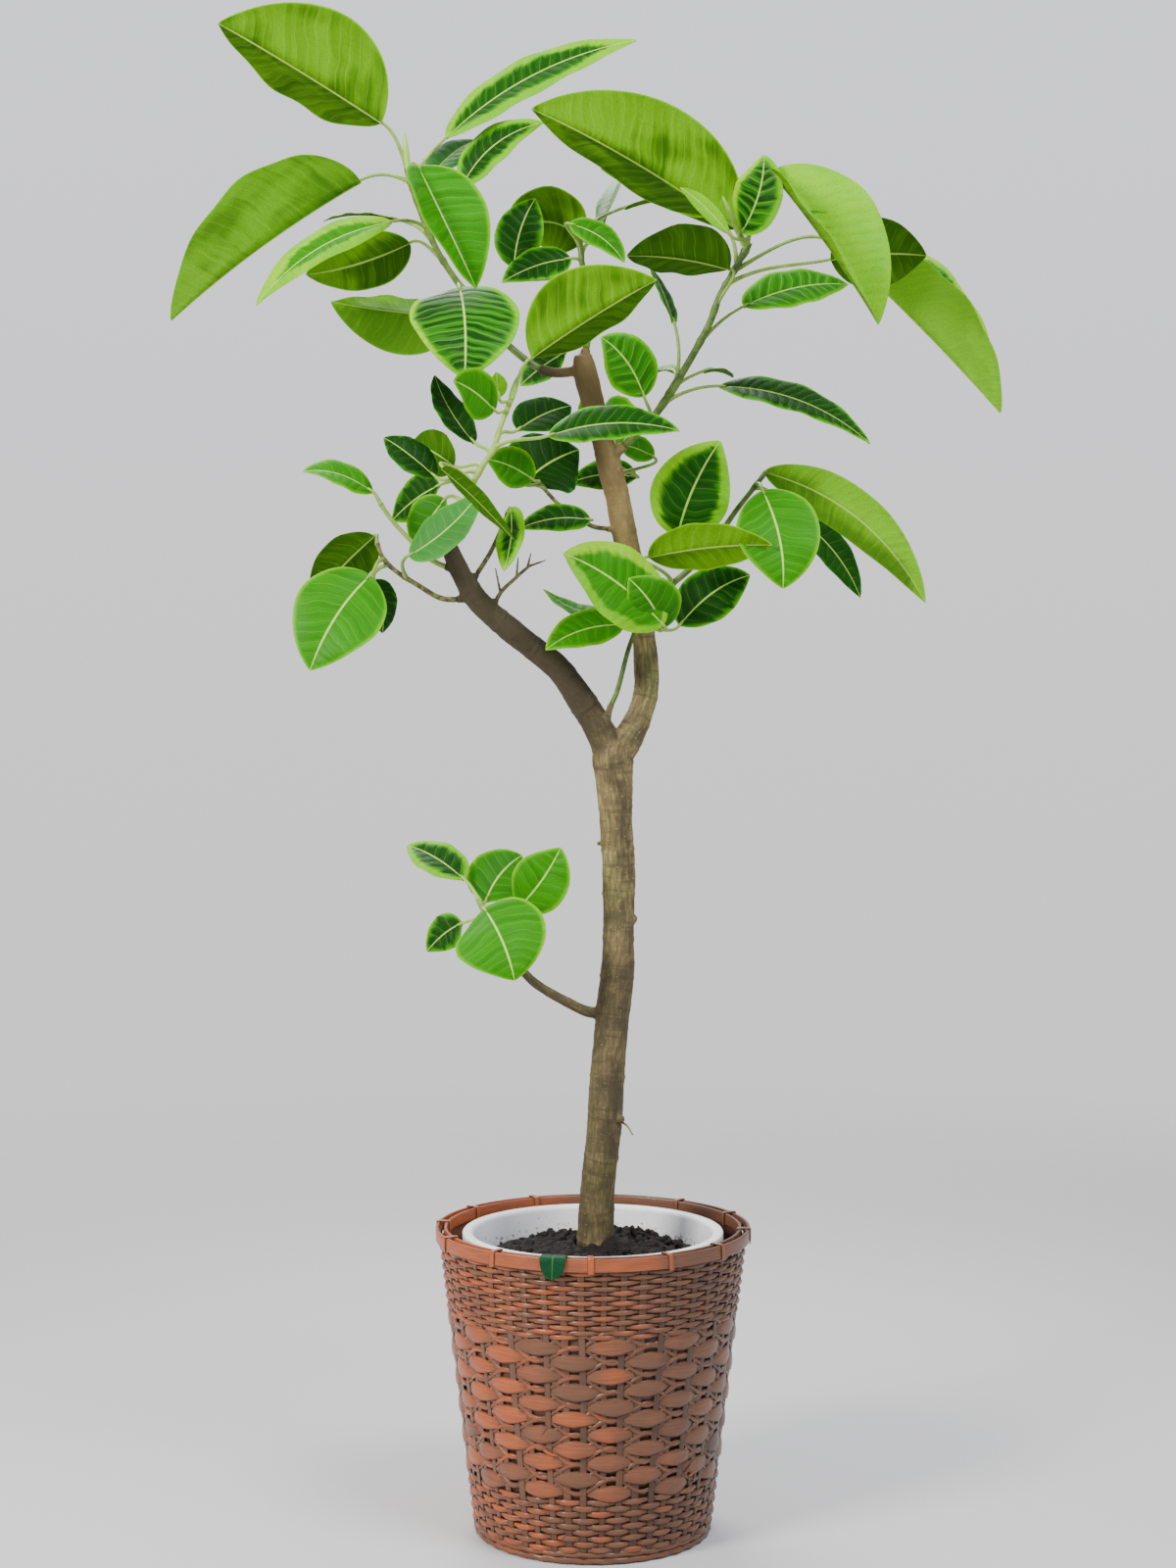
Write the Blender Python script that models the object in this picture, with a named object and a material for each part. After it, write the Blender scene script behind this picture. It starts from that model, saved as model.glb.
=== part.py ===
"""A potted council tree: a variegated broad-leaved fig, in a white pot, in a wicker basket.

Millimetres inside this file, metres in the scene, +Z up. The origin is the middle of the basket's
foot, on the surface that it stands on. The tree's points are drawn on a front elevation through
the pot's axis, as x to the right and z up, with how near to the viewer they stand.
"""

import math

import bmesh
import bpy
import numpy as np

MM = 0.001
GAP = 0.3

# The eye of the front elevation: how far in front of the pot's axis, how high, and how far aside.
EYE_DISTANCE = 2800.0
EYE_HEIGHT = 908.0
EYE_ASIDE = -5.0

# Basket
BASKET_HEIGHT = 313.0
BASKET_TOP_RADIUS = 158.0
BASKET_FOOT_RADIUS = 121.0
BASKET_FLOOR = 8.0
WALL_THICKNESS = 4.2
COLUMNS_ROUND = 44
FOOT_BAND = 6.0
LOWER_ROW = 20.0
FINE_RELIEF = 1.5
BROAD_ROW = 14.9
BROAD_RELIEF = 3.2
LOWER_ROWS = 3
BROAD_ROWS = 11
UPPER_ROWS = 3

# The two hoops that clasp the basket's top edge, and the splints that bind them
HOOP_HEIGHT = 17.0
HOOP_THICKNESS = 3.0
HOOP_OVERHANG = 2.0
HOOP_INSET = 1.2
TIE_ANGLES = (-128, -91, -62, -37, -7, 23, 53, 84, 114, 145, 174, 203)
TIE_WIDTH = 6.0
TIE_THICKNESS = 1.3

# White inner pot
POT_HEIGHT = 302.0
POT_LIP_RADIUS = 134.0
POT_LIP_HEIGHT = 15.0
POT_TOP_RADIUS = 126.0
POT_FOOT_RADIUS = 96.0
POT_WALL = 4.0
POT_DRAIN_RADIUS = 10.0
POT_SIDES = 28

# Soil and the hole that the trunk stands in
SOIL_TOP = 277.0
SOIL_MOUND = 21.0
SOIL_LUMP = 3.0
SOIL_SIDES = 28
SOIL_RINGS = (42.0, 64.0, 88.0)
# Keeps the soil's corners inside the flats of the pot's many-sided wall.
POLYGON_INSET = 0.985
# The heap of looser soil behind the trunk: its middle, height and spread
HEAP_PLACE = (38.0, 30.0)
HEAP_HEIGHT = 9.0
HEAP_SPREAD = 32.0

# Leaves
BLADE_THICKNESS = 0.9
MIDRIB_DEPTH = 2.2
LEAF_FOLD = 0.28
LEAF_CURL = 0.22
BROAD_COLUMNS = np.array([-1.0, -0.55, 0.0, 0.55, 1.0])
NARROW_COLUMNS = np.array([-1.0, 0.0, 1.0])
NARROW_BLADE = 64.0
PETIOLE_RADIUS = 2.1
PETIOLE_SIDES = 4
SHOOT_SIDES = 5
SPUR_COLLAR = 1.25

COLOURS = {
    "bark": ((0.30, 0.24, 0.15), 0.8),
    "leaf": ((0.16, 0.42, 0.06), 0.4),
    "white_plastic": ((0.86, 0.88, 0.90), 0.35),
    "soil": ((0.03, 0.022, 0.016), 0.95),
    "wicker": ((0.42, 0.16, 0.07), 0.5),
}

# The woody stems: (x, z, near, radius) along each axis, from its root outwards.
TRUNK = [
    (1, 182, 0, 23), (1, 240, 0, 21), (2, 290, 0, 18.6), (5, 353, 3, 17.4), (11, 410, 6, 17.6),
    (14.5, 467, 8, 17.3), (19.5, 525, 6, 17.2), (25, 576, 2, 16.8), (26, 614, -3, 16),
    (26.5, 653, -6, 16), (26, 691, -6, 16.6), (23.5, 729, -3, 16.8), (22, 767, 0, 18.4),
    (20, 797, 0, 20), (20, 812, 0, 18),
]
LEFT_LIMB = [
    (19, 796, 0, 16), (8, 822, 3, 15.2), (-11.5, 853, 10, 14), (-33, 884, 20, 12.8),
    (-58, 905, 31, 12.4), (-86, 927, 45, 12), (-115, 953, 58, 11.2), (-131, 977, 68, 10),
    (-142, 1000, 76, 8.6), (-147, 1013, 79, 7),
]
RIGHT_LIMB = [
    (23, 797, 0, 16), (35, 814, -4, 15), (47, 838, -12, 13.2), (54, 863, -20, 12.5),
    (54, 891, -26, 12.2), (51.5, 921, -30, 11.8), (46, 962, -32, 12), (33.5, 1016, -32, 12.4),
    (24.5, 1062, -30, 12.2), (18, 1085, -28, 12.6), (11, 1113, -24, 10.8), (-3, 1166, -18, 12),
    (-9, 1192, -14, 11), (-10, 1203, -13, 8.5),
]
LOW_BRANCH = [
    (19, 534, 4, 6.5), (-4, 535, 8, 5.4), (-30, 547, 16, 4.9), (-57, 563, 24, 4.5),
    (-76, 581, 28, 4.1),
]
# Old bud scars and broken spurs that stand out of the bark: root, end, radius at each.
SCARS = [
    ((20, 707, -5), (4, 708, 2), 3.4, 1.6),
    ((28, 632, -6), (44, 630, 0), 7.0, 4.2),
    ((20, 426, 8), (30, 424, 20), 6.0, 4.0),
    ((24, 424, 14), (41, 408, 24), 1.6, 0.9),
    ((18, 1088, -28), (29, 1087, -20), 7.0, 4.4),
    ((22, 770, 0), (34, 778, 12), 6.0, 3.6),
    ((14, 480, 6), (6, 484, 20), 5.0, 3.2),
]

# Each leafy shoot: its axis as (x, z, near), its radius at root and tip, how much of its root is
# the parent's woody spur, and its leaves. A leaf is (share of the shoot's length where it grows,
# blade's base, blade's tip, width, roll, bend, folds). Roll is 0 with the upper face to the viewer,
# 90 with it up, 180 with the underside to the viewer. Bend is how far the midrib's middle stands
# off the straight line from base to tip. Folds, where given, are the degrees that the halves on
# the left and right of the way from base to tip are folded up along the midrib.
SHOOTS = {
    "crown_left_shoot": {
        "axis": [(-8, 1188, -14), (-48, 1187, -30), (-88, 1215, -25), (-117, 1250, -10),
                 (-136, 1275, 0), (-154, 1302, 8), (-168, 1331, 12), (-183, 1372, 14),
                 (-188, 1394, 14)],
        "radii": (4.0, 2.6),
        "spur": 50,
        "leaves": [
            (0.99, (-213, 1436, 24), (-377, 1535, 60), 140, 155, (0, 2, 0), (44, 20)),
            (0.94, (-235, 1378, 24), (-427, 1238, 60), 152, 82, (-4, 5, 0), (50, 42)),
            (0.78, (-203, 1337, 36), (-341, 1253, 76), 52, 44, (-7, 14, 0)),
            (0.66, (-185, 1316, -8), (-290, 1284, -40), 63, 150, (0, -5, 0)),
            (0.74, (-200, 1340, -30), (-272, 1338, -80), 44, 78, (0, 6, 0)),
            (0.97, (-176, 1392, 44), (-118, 1270, 76), 90, 8, (0, 0, 14), (0, 56)),
            (0.95, (-165, 1381, -16), (-117, 1418, -70), 42, 35, (0, 6, 0)),
            (0.92, (-148, 1421, -4), (44, 1518, -30), 62, 42, (-8, 14, 0)),
            (0.88, (-133, 1371, 2), (-50, 1436, 14), 54, 40, (-8, 10, 0)),
            (0.42, (-136, 1240, -36), (-265, 1256, -14), 84, 178, (0, -2, 0), (0, 60)),
            (0.55, (-135, 1271, 34), (-130, 1178, 112), 108, 8, (4, 6, 20)),
        ],
    },
    "crown_centre_shoot": {
        "axis": [(-10, 1196, -13), (-5, 1223, -16), (-6, 1263, -24), (-12, 1304, -32),
                 (-14, 1320, -35)],
        "radii": (3.8, 2.4),
        "spur": 14,
        "leaves": [
            (0.62, (-80, 1291, -14), (-58, 1360, -30), 50, 10, (-4, 2, 8)),
            (0.98, (-8, 1318, -50), (-88, 1318, -84), 76, 145, (0, 20, 0)),
            (0.93, (-24, 1335, -8), (32, 1296, 6), 40, 42, (4, 6, 0)),
            (0.72, (-22, 1300, 4), (-92, 1276, 26), 50, 40, (0, 5, 0)),
            (0.97, (32, 1351, -84), (88, 1359, -128), 46, 84, (0, 3, 0)),
            (0.86, (8, 1330, -90), (40, 1380, -200), 72, 75, (0, 18, 0)),
            (0.30, (-28, 1206, -58), (-74, 1172, -74), 38, 30, (0, 3, 0)),
        ],
    },
    "crown_right_shoot": {
        "axis": [(15, 1097, -26), (42, 1122, -22), (66, 1147, -14), (94, 1191, -2),
                 (117, 1233, 8), (127, 1260, 14), (137, 1278, 18), (149, 1299, 22),
                 (158, 1316, 25)],
        "radii": (4.4, 3.0),
        "spur": 22,
        "leaves": [
            (0.95, (146, 1330, -6), (-62, 1450, 36), 134, 152, (-2, 8, 0), (46, 18)),
            (0.97, (150, 1326, 44), (172, 1404, 70), 54, 25, (6, 0, 10)),
            (0.90, (118, 1345, -22), (8, 1390, -70), 46, 130, (0, 6, 0)),
            (0.99, (137, 1325, 62), (88, 1371, 74), 17, 10, (0, 4, 0)),
            (0.72, (138, 1290, 30), (34, 1303, 66), 80, 140, (0, 4, 0), (32, 0)),
            (0.40, (82, 1236, -22), (58, 1292, -56), 34, 66, (2, 0, 0)),
            (0.22, (52, 1161, 16), (8, 1221, 36), 58, 20, (4, 6, 0)),
            (0.35, (82, 1187, -34), (60, 1183, -84), 24, 60, (0, 4, 0)),
            (0.31, (128, 1172, 2), (281, 1114, 44), 58, 55, (6, 14, 0)),
            (0.38, (112, 1187, -26), (142, 1181, -84), 28, 80, (0, 4, 0)),
            (0.58, (152, 1252, -10), (258, 1274, -44), 62, 45, (0, 8, 0)),
            (0.96, (180, 1388, 66), (289, 1234, 104), 124, 25, (2, 2, 6), (15, 58)),
            (0.82, (240, 1299, 14), (337, 1303, 26), 80, 148, (0, 4, 0)),
            (0.88, (254, 1308, -34), (413, 1145, -70), 140, 76, (2, 2, 0), (50, 50)),
        ],
    },
    "mid_left_shoot": {
        "axis": [(-145, 1008, 78), (-140, 1032, 82), (-128, 1060, 86), (-114, 1088, 87),
                 (-101, 1108, 84), (-94, 1130, 80), (-85, 1153, 76), (-81, 1163, 74)],
        "radii": (3.4, 2.2),
        "spur": 12,
        "leaves": [
            (0.99, (-62, 1201, 92), (64, 1279, 128), 104, 150, (-1, 2, 0), (25, 41)),
            (0.66, (-45, 1122, 92), (88, 1127, 112), 62, 52, (0, 10, 0)),
            (0.62, (-120, 1115, 84), (-160, 1183, 70), 48, 55, (-5, 0, 0)),
            (0.88, (-99, 1147, 108), (-141, 1177, 168), 48, 20, (0, 4, 0)),
            (0.93, (-95, 1160, 104), (-98, 1186, 120), 20, 20, (0, 0, 0)),
            (0.74, (-76, 1128, 48), (-22, 1152, 4), 52, 35, (0, 4, 0)),
            (0.48, (-159, 1080, 96), (-212, 1120, 92), 46, 45, (-2, 4, 0)),
            (0.52, (-140, 1092, 60), (-182, 1116, 10), 46, 150, (0, 2, 0)),
            (0.40, (-152, 1090, 128), (-80, 1018, 154), 34, 118, (0, 3, 0)),
            (0.28, (-150, 1058, 72), (-180, 1006, 52), 52, 30, (-4, 0, 0)),
            (0.34, (-156, 1072, 36), (-204, 1036, -8), 48, 30, (0, 4, 0)),
        ],
    },
    "upper_left_twig": {
        "axis": [(-136, 984, 72), (-165, 997, 77), (-187, 1018, 81), (-205, 1038, 86),
                 (-216, 1054, 89)],
        "radii": (2.8, 2.0),
        "spur": 15,
        "leaves": [
            (0.98, (-223, 1065, 90), (-294, 1086, 118), 44, 55, (0, 8, 0)),
        ],
    },
    "lower_left_twig": {
        "axis": [(-120, 958, 60), (-152, 957, 66), (-178, 971, 72), (-200, 985, 76),
                 (-213, 998, 78), (-219, 1013, 79)],
        "radii": (3.0, 2.0),
        "spur": 18,
        "leaves": [
            (0.99, (-222, 1021, 62), (-285, 954, 24), 56, 150, (-2, 2, 0)),
            (0.86, (-226, 981, 100), (-288, 884, 138), 90, 14, (-4, 5, 10)),
            (0.80, (-222, 976, 64), (-214, 922, 36), 38, 40, (4, 0, 0)),
            (0.62, (-187, 1001, 98), (-115, 1064, 104), 50, 35, (4, -4, 8)),
        ],
    },
    "limb_twig": {
        "axis": [(-126, 970, 64), (-114, 988, 66), (-103, 1006, 66), (-92, 1030, 62),
                 (-86, 1046, 58)],
        "radii": (2.6, 1.9),
        "spur": 15,
        "leaves": [
            (0.98, (-84, 1049, 60), (-91, 985, 96), 38, 42, (4, 0, 6)),
        ],
    },
    "bare_twig": {
        "axis": [(-104, 944, 52), (-94, 963, 60), (-82, 975, 66), (-64, 991, 72)],
        "radii": (2.4, 1.5),
        "spur": 15,
        "leaves": [],
        "prongs": [(0.35, (-99, 988, 74)), (0.72, (-76, 999, 80)), (0.95, (-63, 1003, 78)),
                   (0.98, (-48, 996, 76))],
    },
    "fork_shoot": {
        "axis": [(14, 818, 8), (16, 842, 16), (25, 864, 20), (35, 902, 18), (42, 922, 16),
                 (49, 936, 14)],
        "radii": (2.8, 2.2),
        "spur": 34,
        "leaves": [
            (0.93, (32, 931, 30), (-48, 905, 54), 46, 35, (-4, 7, 0)),
            (0.96, (30, 940, 14), (-50, 967, -14), 42, 70, (-4, -8, 0)),
            (0.99, (72, 930, 46), (-30, 1003, 88), 84, 30, (2, 8, 0)),
            (0.95, (70, 926, 30), (36, 978, 62), 62, 14, (6, 0, 8)),
            (0.90, (88, 930, 8), (160, 981, -14), 58, 20, (-2, 8, 0)),
        ],
    },
    "right_shoot": {
        "axis": [(47, 958, -32), (66, 964, -16), (90, 980, -10), (118, 1008, -8),
                 (145, 1046, -6), (163, 1069, -4), (175, 1085, -2)],
        "radii": (3.8, 2.4),
        "spur": 20,
        "leaves": [
            (0.42, (86, 1020, 22), (129, 1117, 40), 80, 4, (-6, 0, 10)),
            (0.22, (56, 1000, 30), (182, 1012, 64), 60, 140, (0, 4, 0)),
            (0.92, (172, 1067, 18), (193, 967, 60), 84, 3, (6, 0, 14)),
            (0.99, (174, 1086, -10), (338, 953, -40), 55, 152, (14, 19, 0)),
            (0.90, (206, 1040, -34), (272, 958, -56), 40, 30, (6, 6, 0)),
        ],
    },
    "stem_left_twig": {
        "axis": [(31, 1027, -31), (14, 1028, -22), (-4, 1032, -12), (-33, 1051, -6),
                 (-56, 1076, -2)],
        "radii": (2.6, 1.9),
        "spur": 19,
        "leaves": [
            (0.45, (-2, 1037, 2), (-75, 1028, 20), 42, 45, (0, 6, 0)),
            (0.99, (-60, 1077, 4), (-108, 1098, 30), 42, 10, (0, 4, 0)),
            (0.93, (-68, 1074, -18), (-14, 1108, -60), 84, 18, (-6, 2, 0)),
        ],
    },
    "stem_back_twig": {
        "axis": [(18, 1072, -30), (24, 1078, -52), (26, 1086, -72), (26, 1092, -84)],
        "radii": (2.6, 2.0),
        "spur": 20,
        "leaves": [
            (0.90, (44, 1080, -96), (-24, 1074, -104), 42, 35, (0, 6, 0)),
            (0.55, (62, 1100, -56), (22, 1112, -50), 34, 35, (0, 4, 0)),
            (0.98, (26, 1110, -120), (10, 1130, -230), 78, 70, (0, 22, 0)),
        ],
    },
    "low_shoot": {
        "axis": [(-70, 575, 27), (-82, 588, 29), (-97, 612, 28), (-112, 640, 24),
                 (-117, 651, 22)],
        "radii": (3.6, 2.4),
        "spur": 18,
        "leaves": [
            (0.98, (-131, 671, 12), (-190, 706, -20), 54, 52, (0, 5, 0)),
            (0.93, (-110, 648, 10), (-72, 696, -34), 63, 15, (-4, 4, 0)),
            (0.88, (-76, 642, 18), (-33, 704, 36), 60, 12, (4, 0, 6)),
            (0.80, (-111, 641, 40), (-80, 567, 98), 94, 6, (4, 4, 16)),
            (0.72, (-134, 626, 10), (-170, 597, -6), 38, 20, (0, 4, 0)),
        ],
    },
}
# The pale sheaths that close the newest leaf of a growing tip: shoot, and the sheath's own tip.
SPEARS = {
    "crown_left_shoot": (-190, 1426, 18),
    "crown_right_shoot": (131, 1362, 48),
    "mid_left_shoot": (-76, 1182, 78),
}
SPEAR_RADIUS = 3.2
PRONG_RADIUS = 1.1

# A dropped leaf that has caught on the basket's rim: angle round the basket, sizes
CAUGHT_LEAF_ANGLE = -104.0
CAUGHT_LEAF_WIDTH = 26.0
CAUGHT_LEAF_OUTSIDE = 22.0
CAUGHT_LEAF_INSIDE = 20.0


def seen(x, z, near):
    """The point drawn at (x, z), carried along its sight line until it is `near` mm nearer."""
    share = near / EYE_DISTANCE
    return np.array([x + (EYE_ASIDE - x) * share, -near, z + (EYE_HEIGHT - z) * share])


def unit(vector):
    return vector / np.linalg.norm(vector)


def smooth_line(points, count):
    """A curve through the points (Catmull-Rom), read at `count` even shares of its length."""
    points = np.asarray(points, float)
    ends = np.vstack([2 * points[0] - points[1], points, 2 * points[-1] - points[-2]])
    fine = []
    for a, b, c, d in zip(ends, ends[1:], ends[2:], ends[3:]):
        t = np.linspace(0, 1, 12, endpoint=False)[:, None]
        fine.append(0.5 * (2 * b + (c - a) * t + (2 * a - 5 * b + 4 * c - d) * t**2
                           + (3 * b - a - 3 * c + d) * t**3))
    fine = np.vstack([*fine, points[-1:]])
    walked = np.concatenate([[0], np.cumsum(np.linalg.norm(np.diff(fine[:, :3], axis=0), axis=1))])
    shares = np.linspace(0, walked[-1], count)
    return np.stack([np.interp(shares, walked, column) for column in fine.T], axis=1)


def length_of(line):
    return float(np.linalg.norm(np.diff(line[:, :3], axis=0), axis=1).sum())


def point_at(line, share):
    """The point at a share of a line's length, and the line's direction there."""
    at = share * (len(line) - 1)
    low = min(int(at), len(line) - 2)
    step = line[low + 1, :3] - line[low, :3]
    return line[low, :3] + step * (at - low), unit(step)


def new_object(name, points, faces, smooth=True):
    """A closed mesh from points in millimetres, its faces turned outwards."""
    mesh = bpy.data.meshes.new(name)
    mesh.from_pydata((np.asarray(points) * MM).tolist(), [], faces)
    shape = bmesh.new()
    shape.from_mesh(mesh)
    bmesh.ops.recalc_face_normals(shape, faces=shape.faces)
    shape.to_mesh(mesh)
    shape.free()
    if smooth:
        mesh.shade_smooth()
    item = bpy.data.objects.new(name, mesh)
    bpy.context.scene.collection.objects.link(item)
    return item


def paint(item, colour_name):
    (red, green, blue), roughness = COLOURS[colour_name]
    material = bpy.data.materials.get(colour_name) or bpy.data.materials.new(colour_name)
    material.use_nodes = True
    shader = material.node_tree.nodes["Principled BSDF"]
    shader.inputs["Base Color"].default_value = (red, green, blue, 1)
    shader.inputs["Roughness"].default_value = roughness
    item.data.materials.clear()
    item.data.materials.append(material)
    return item


def tube(name, line, radii, sides, first=None, last=None):
    """A round tube along a line, capped flat at both ends. Its rings turn with the line, and the
    first and last can be given the direction that they are cut square to."""
    steps = np.gradient(line, axis=0)
    steps[0] = steps[0] if first is None else first
    steps[-1] = steps[-1] if last is None else last
    side = unit(np.cross(steps[0], [0.31, 0.87, 0.38]))
    around = np.arange(sides) * 2 * math.pi / sides
    points = []
    for centre, step, radius in zip(line, steps, radii):
        along = unit(step)
        side = unit(side - along * (side @ along))
        other = np.cross(along, side)
        points.append(centre + radius * (np.outer(np.cos(around), side)
                                         + np.outer(np.sin(around), other)))
    return new_object(name, np.vstack(points), ring_faces(len(line), sides, capped=True))


def ring_faces(rings, sides, capped):
    """The faces between rings of points, closed round, with a cap on the first and last ring."""
    faces = [
        (ring * sides + i, ring * sides + (i + 1) % sides,
         (ring + 1) * sides + (i + 1) % sides, (ring + 1) * sides + i)
        for ring in range(rings - 1)
        for i in range(sides)
    ]
    if capped:
        faces.append(tuple(range(sides)))
        faces.append(tuple((rings - 1) * sides + i for i in range(sides)))
    return faces


def joined(body, others, name):
    """One solid of a body and everything that grows from it, by one union. The solver is MANIFOLD
    because EXACT leaves open edges where thin stalks meet the blades of two of the twigs."""
    group = bpy.data.collections.new(name + "_parts")
    bpy.context.scene.collection.children.link(group)
    for item in others:
        bpy.context.scene.collection.objects.unlink(item)
        group.objects.link(item)
    union = body.modifiers.new("union", "BOOLEAN")
    union.operation = "UNION"
    union.operand_type = "COLLECTION"
    union.collection = group
    union.solver = "MANIFOLD"
    graph = bpy.context.evaluated_depsgraph_get()
    whole = bpy.data.meshes.new_from_object(body.evaluated_get(graph))
    body.modifiers.clear()
    body.data = whole
    body.name = name
    for item in others:
        bpy.data.objects.remove(item)
    bpy.data.collections.remove(group)
    return body


def outline_share(s):
    """Half the blade's width at a share s of its length: blunt base, broad middle, drawn tip."""
    rise, fall = 0.62, 0.86
    widest = rise / (rise + fall)
    return (s / widest) ** rise * ((1 - s) / (1 - widest)) ** fall


def midrib(base, tip, bend, shares):
    """The midrib as a parabola from base to tip whose middle stands off the chord by `bend`."""
    corner = (base + tip) / 2 + 2 * bend
    s = shares[:, None]
    line = (1 - s) ** 2 * base + 2 * s * (1 - s) * corner + s**2 * tip
    steps = 2 * (1 - s) * (corner - base) + 2 * s * (tip - corner)
    return line, steps / np.linalg.norm(steps, axis=1)[:, None]


def blade_faces(directions, roll):
    """The upper face's direction and the blade's sideways direction along the midrib."""
    viewer = np.array([0.0, -1.0, 0.0])
    front = viewer - directions * (directions @ viewer)[:, None]
    front /= np.linalg.norm(front, axis=1)[:, None]
    upward = np.cross(directions, front)
    if upward[len(upward) // 2, 2] < 0:
        upward = -upward
    turn = math.radians(roll)
    normals = math.cos(turn) * front + math.sin(turn) * upward
    return normals, np.cross(normals, directions)


def folded(normals, across, columns_across, roll, folds):
    """The faces' upward and sideways directions, turned about the midrib by each half's fold."""
    left, right = folds if math.cos(math.radians(roll)) >= 0 else reversed(folds)
    share = np.clip(0.5 + columns_across / 0.3, 0, 1)[:, None]
    turn = np.radians((left + right) * share - right)
    up, aside = normals[:, None], across[:, None]
    return np.cos(turn) * up - np.sin(turn) * aside, np.cos(turn) * aside + np.sin(turn) * up


def blade(name, base, tip, width, roll, bend, folds):
    """One leaf blade: both faces on a grid, split into triangles alike, a rim round it."""
    reach = np.linalg.norm(tip - base) + 1.6 * np.linalg.norm(bend)
    rows = 4 if reach < 104 else 5 if reach < 140 else 6 if reach < 215 else 7
    columns_across = NARROW_COLUMNS if width < NARROW_BLADE else BROAD_COLUMNS
    shares = np.linspace(0, 1, rows + 1)[1:-1]
    shares = shares - 0.05 * np.sin(2 * math.pi * shares)
    line, directions = midrib(base, tip, bend, shares)
    up, aside = folded(*blade_faces(directions, roll), columns_across, roll, folds)
    half = 0.5 * width * outline_share(shares)
    out = half[:, None] * columns_across
    rise = half[:, None] * (LEAF_FOLD * np.abs(columns_across) - LEAF_CURL * columns_across**2)
    upper = line[:, None] + out[..., None] * aside + rise[..., None] * up
    rib = MIDRIB_DEPTH * (1 - shares)[:, None] * (columns_across == 0)
    lower = upper - (BLADE_THICKNESS + rib)[..., None] * up
    columns = len(columns_across)
    ring = np.concatenate([upper, lower[:, ::-1]], axis=1)
    points = np.vstack([ring.reshape(-1, 3), base[None], tip[None]])
    around = 2 * columns
    faces = []
    for row in range(len(shares) - 1):
        for i in range(around):
            j = (i + 1) % around
            a, b = row * around + i, row * around + j
            c, d = b + around, a + around
            mirrored = i >= columns
            faces += [(a, b, d), (b, c, d)] if mirrored else [(a, b, c), (a, c, d)]
    root, point = len(points) - 2, len(points) - 1
    last = (len(shares) - 1) * around
    for i in range(around):
        j = (i + 1) % around
        faces.append((root, i, j))
        faces.append((last + i, last + j, point))
    return new_object(name, points, faces)


def petiole(name, root, base, first_step, blade_base_step):
    """A leaf stalk from the shoot's axis to just inside the blade, curving into the midrib."""
    reach = np.linalg.norm(base - root)
    leave = root + unit(first_step) * reach * 0.4
    arrive = base - blade_base_step * reach * 0.35
    end = base + blade_base_step * 5.0
    t = np.linspace(0, 1, 3 if reach < 48 else 4)[:, None]
    line = ((1 - t) ** 3 * root + 3 * t * (1 - t) ** 2 * leave
            + 3 * t**2 * (1 - t) * arrive + t**3 * base)
    line = np.vstack([line, end])
    radii = np.linspace(PETIOLE_RADIUS, 0.72 * PETIOLE_RADIUS, len(line))
    radii[-1] = 0.5 * PETIOLE_RADIUS
    return tube(name, line, radii, PETIOLE_SIDES)


def shoot_line(shoot):
    line = smooth_line([seen(*point) for point in shoot["axis"]], 120)
    return line, length_of(line)


def shoot_radius(shoot, share):
    root, tip = shoot["radii"]
    return root + (tip - root) * share


def on_axis(axis, shares, at):
    """The point at a share of the shoot's length on its stem's own axis, and the direction."""
    share = (max(at, shares[0] + 0.04) - shares[0]) / (1 - shares[0])
    return point_at(axis, share)


def build_shoot(name, shoot):
    """A leafy shoot: its green stem from the end of its woody spur, its stalks and its blades."""
    line, whole = shoot_line(shoot)
    start, along = point_at(line, shoot["spur"] / whole)
    shares = np.linspace(shoot["spur"] / whole, 1, max(4, int(whole / 30)))
    axis = np.array([start + GAP * along] + [point_at(line, s)[0] for s in shares[1:]])
    stem = tube(name, axis, [shoot_radius(shoot, s) for s in shares], SHOOT_SIDES, first=along)
    grown = []
    for number, (at, base, tip, width, roll, bend, *folds) in enumerate(shoot["leaves"]):
        base, tip = seen(*base), seen(*tip)
        bend = np.array([bend[0], -bend[2], bend[1]], float)
        folds = folds[0] if folds else (0, 0)
        grown.append(blade(f"blade{number}", base, tip, width, roll, bend, folds))
        root, along = on_axis(axis, shares, at)
        _, steps = midrib(base, tip, bend, np.array([0.0]))
        leave = unit(unit(base - root) + 0.6 * along)
        grown.append(petiole(f"stalk{number}", root, base, leave, steps[0]))
    for number, (at, tip) in enumerate(shoot.get("prongs", [])):
        root, _ = on_axis(axis, shares, at)
        prong = np.linspace(root, seen(*tip), 3)
        grown.append(tube(f"prong{number}", prong, PRONG_RADIUS * np.array([1.3, 1, 0.7]), 5))
    if name in SPEARS:
        root, _ = on_axis(axis, shares, 0.97)
        spear = np.linspace(root, seen(*SPEARS[name]), 4)
        grown.append(tube(f"spear{name}", spear, SPEAR_RADIUS * np.array([0.9, 1, 0.6, 0.15]), 5))
    return paint(joined(stem, grown, name), "leaf")


def woody(name, drawn, rings, sides):
    """A bark-covered stem: a tube whose girth swells and pinches a little along its length."""
    points = [[*seen(x, z, near), radius] for x, z, near, radius in drawn]
    line = smooth_line(points, rings)
    swell = 1 + 0.02 * np.sin(np.arange(rings) * 2.1)
    return tube(name, line[:, :3], line[:, 3] * swell, sides)


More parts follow.
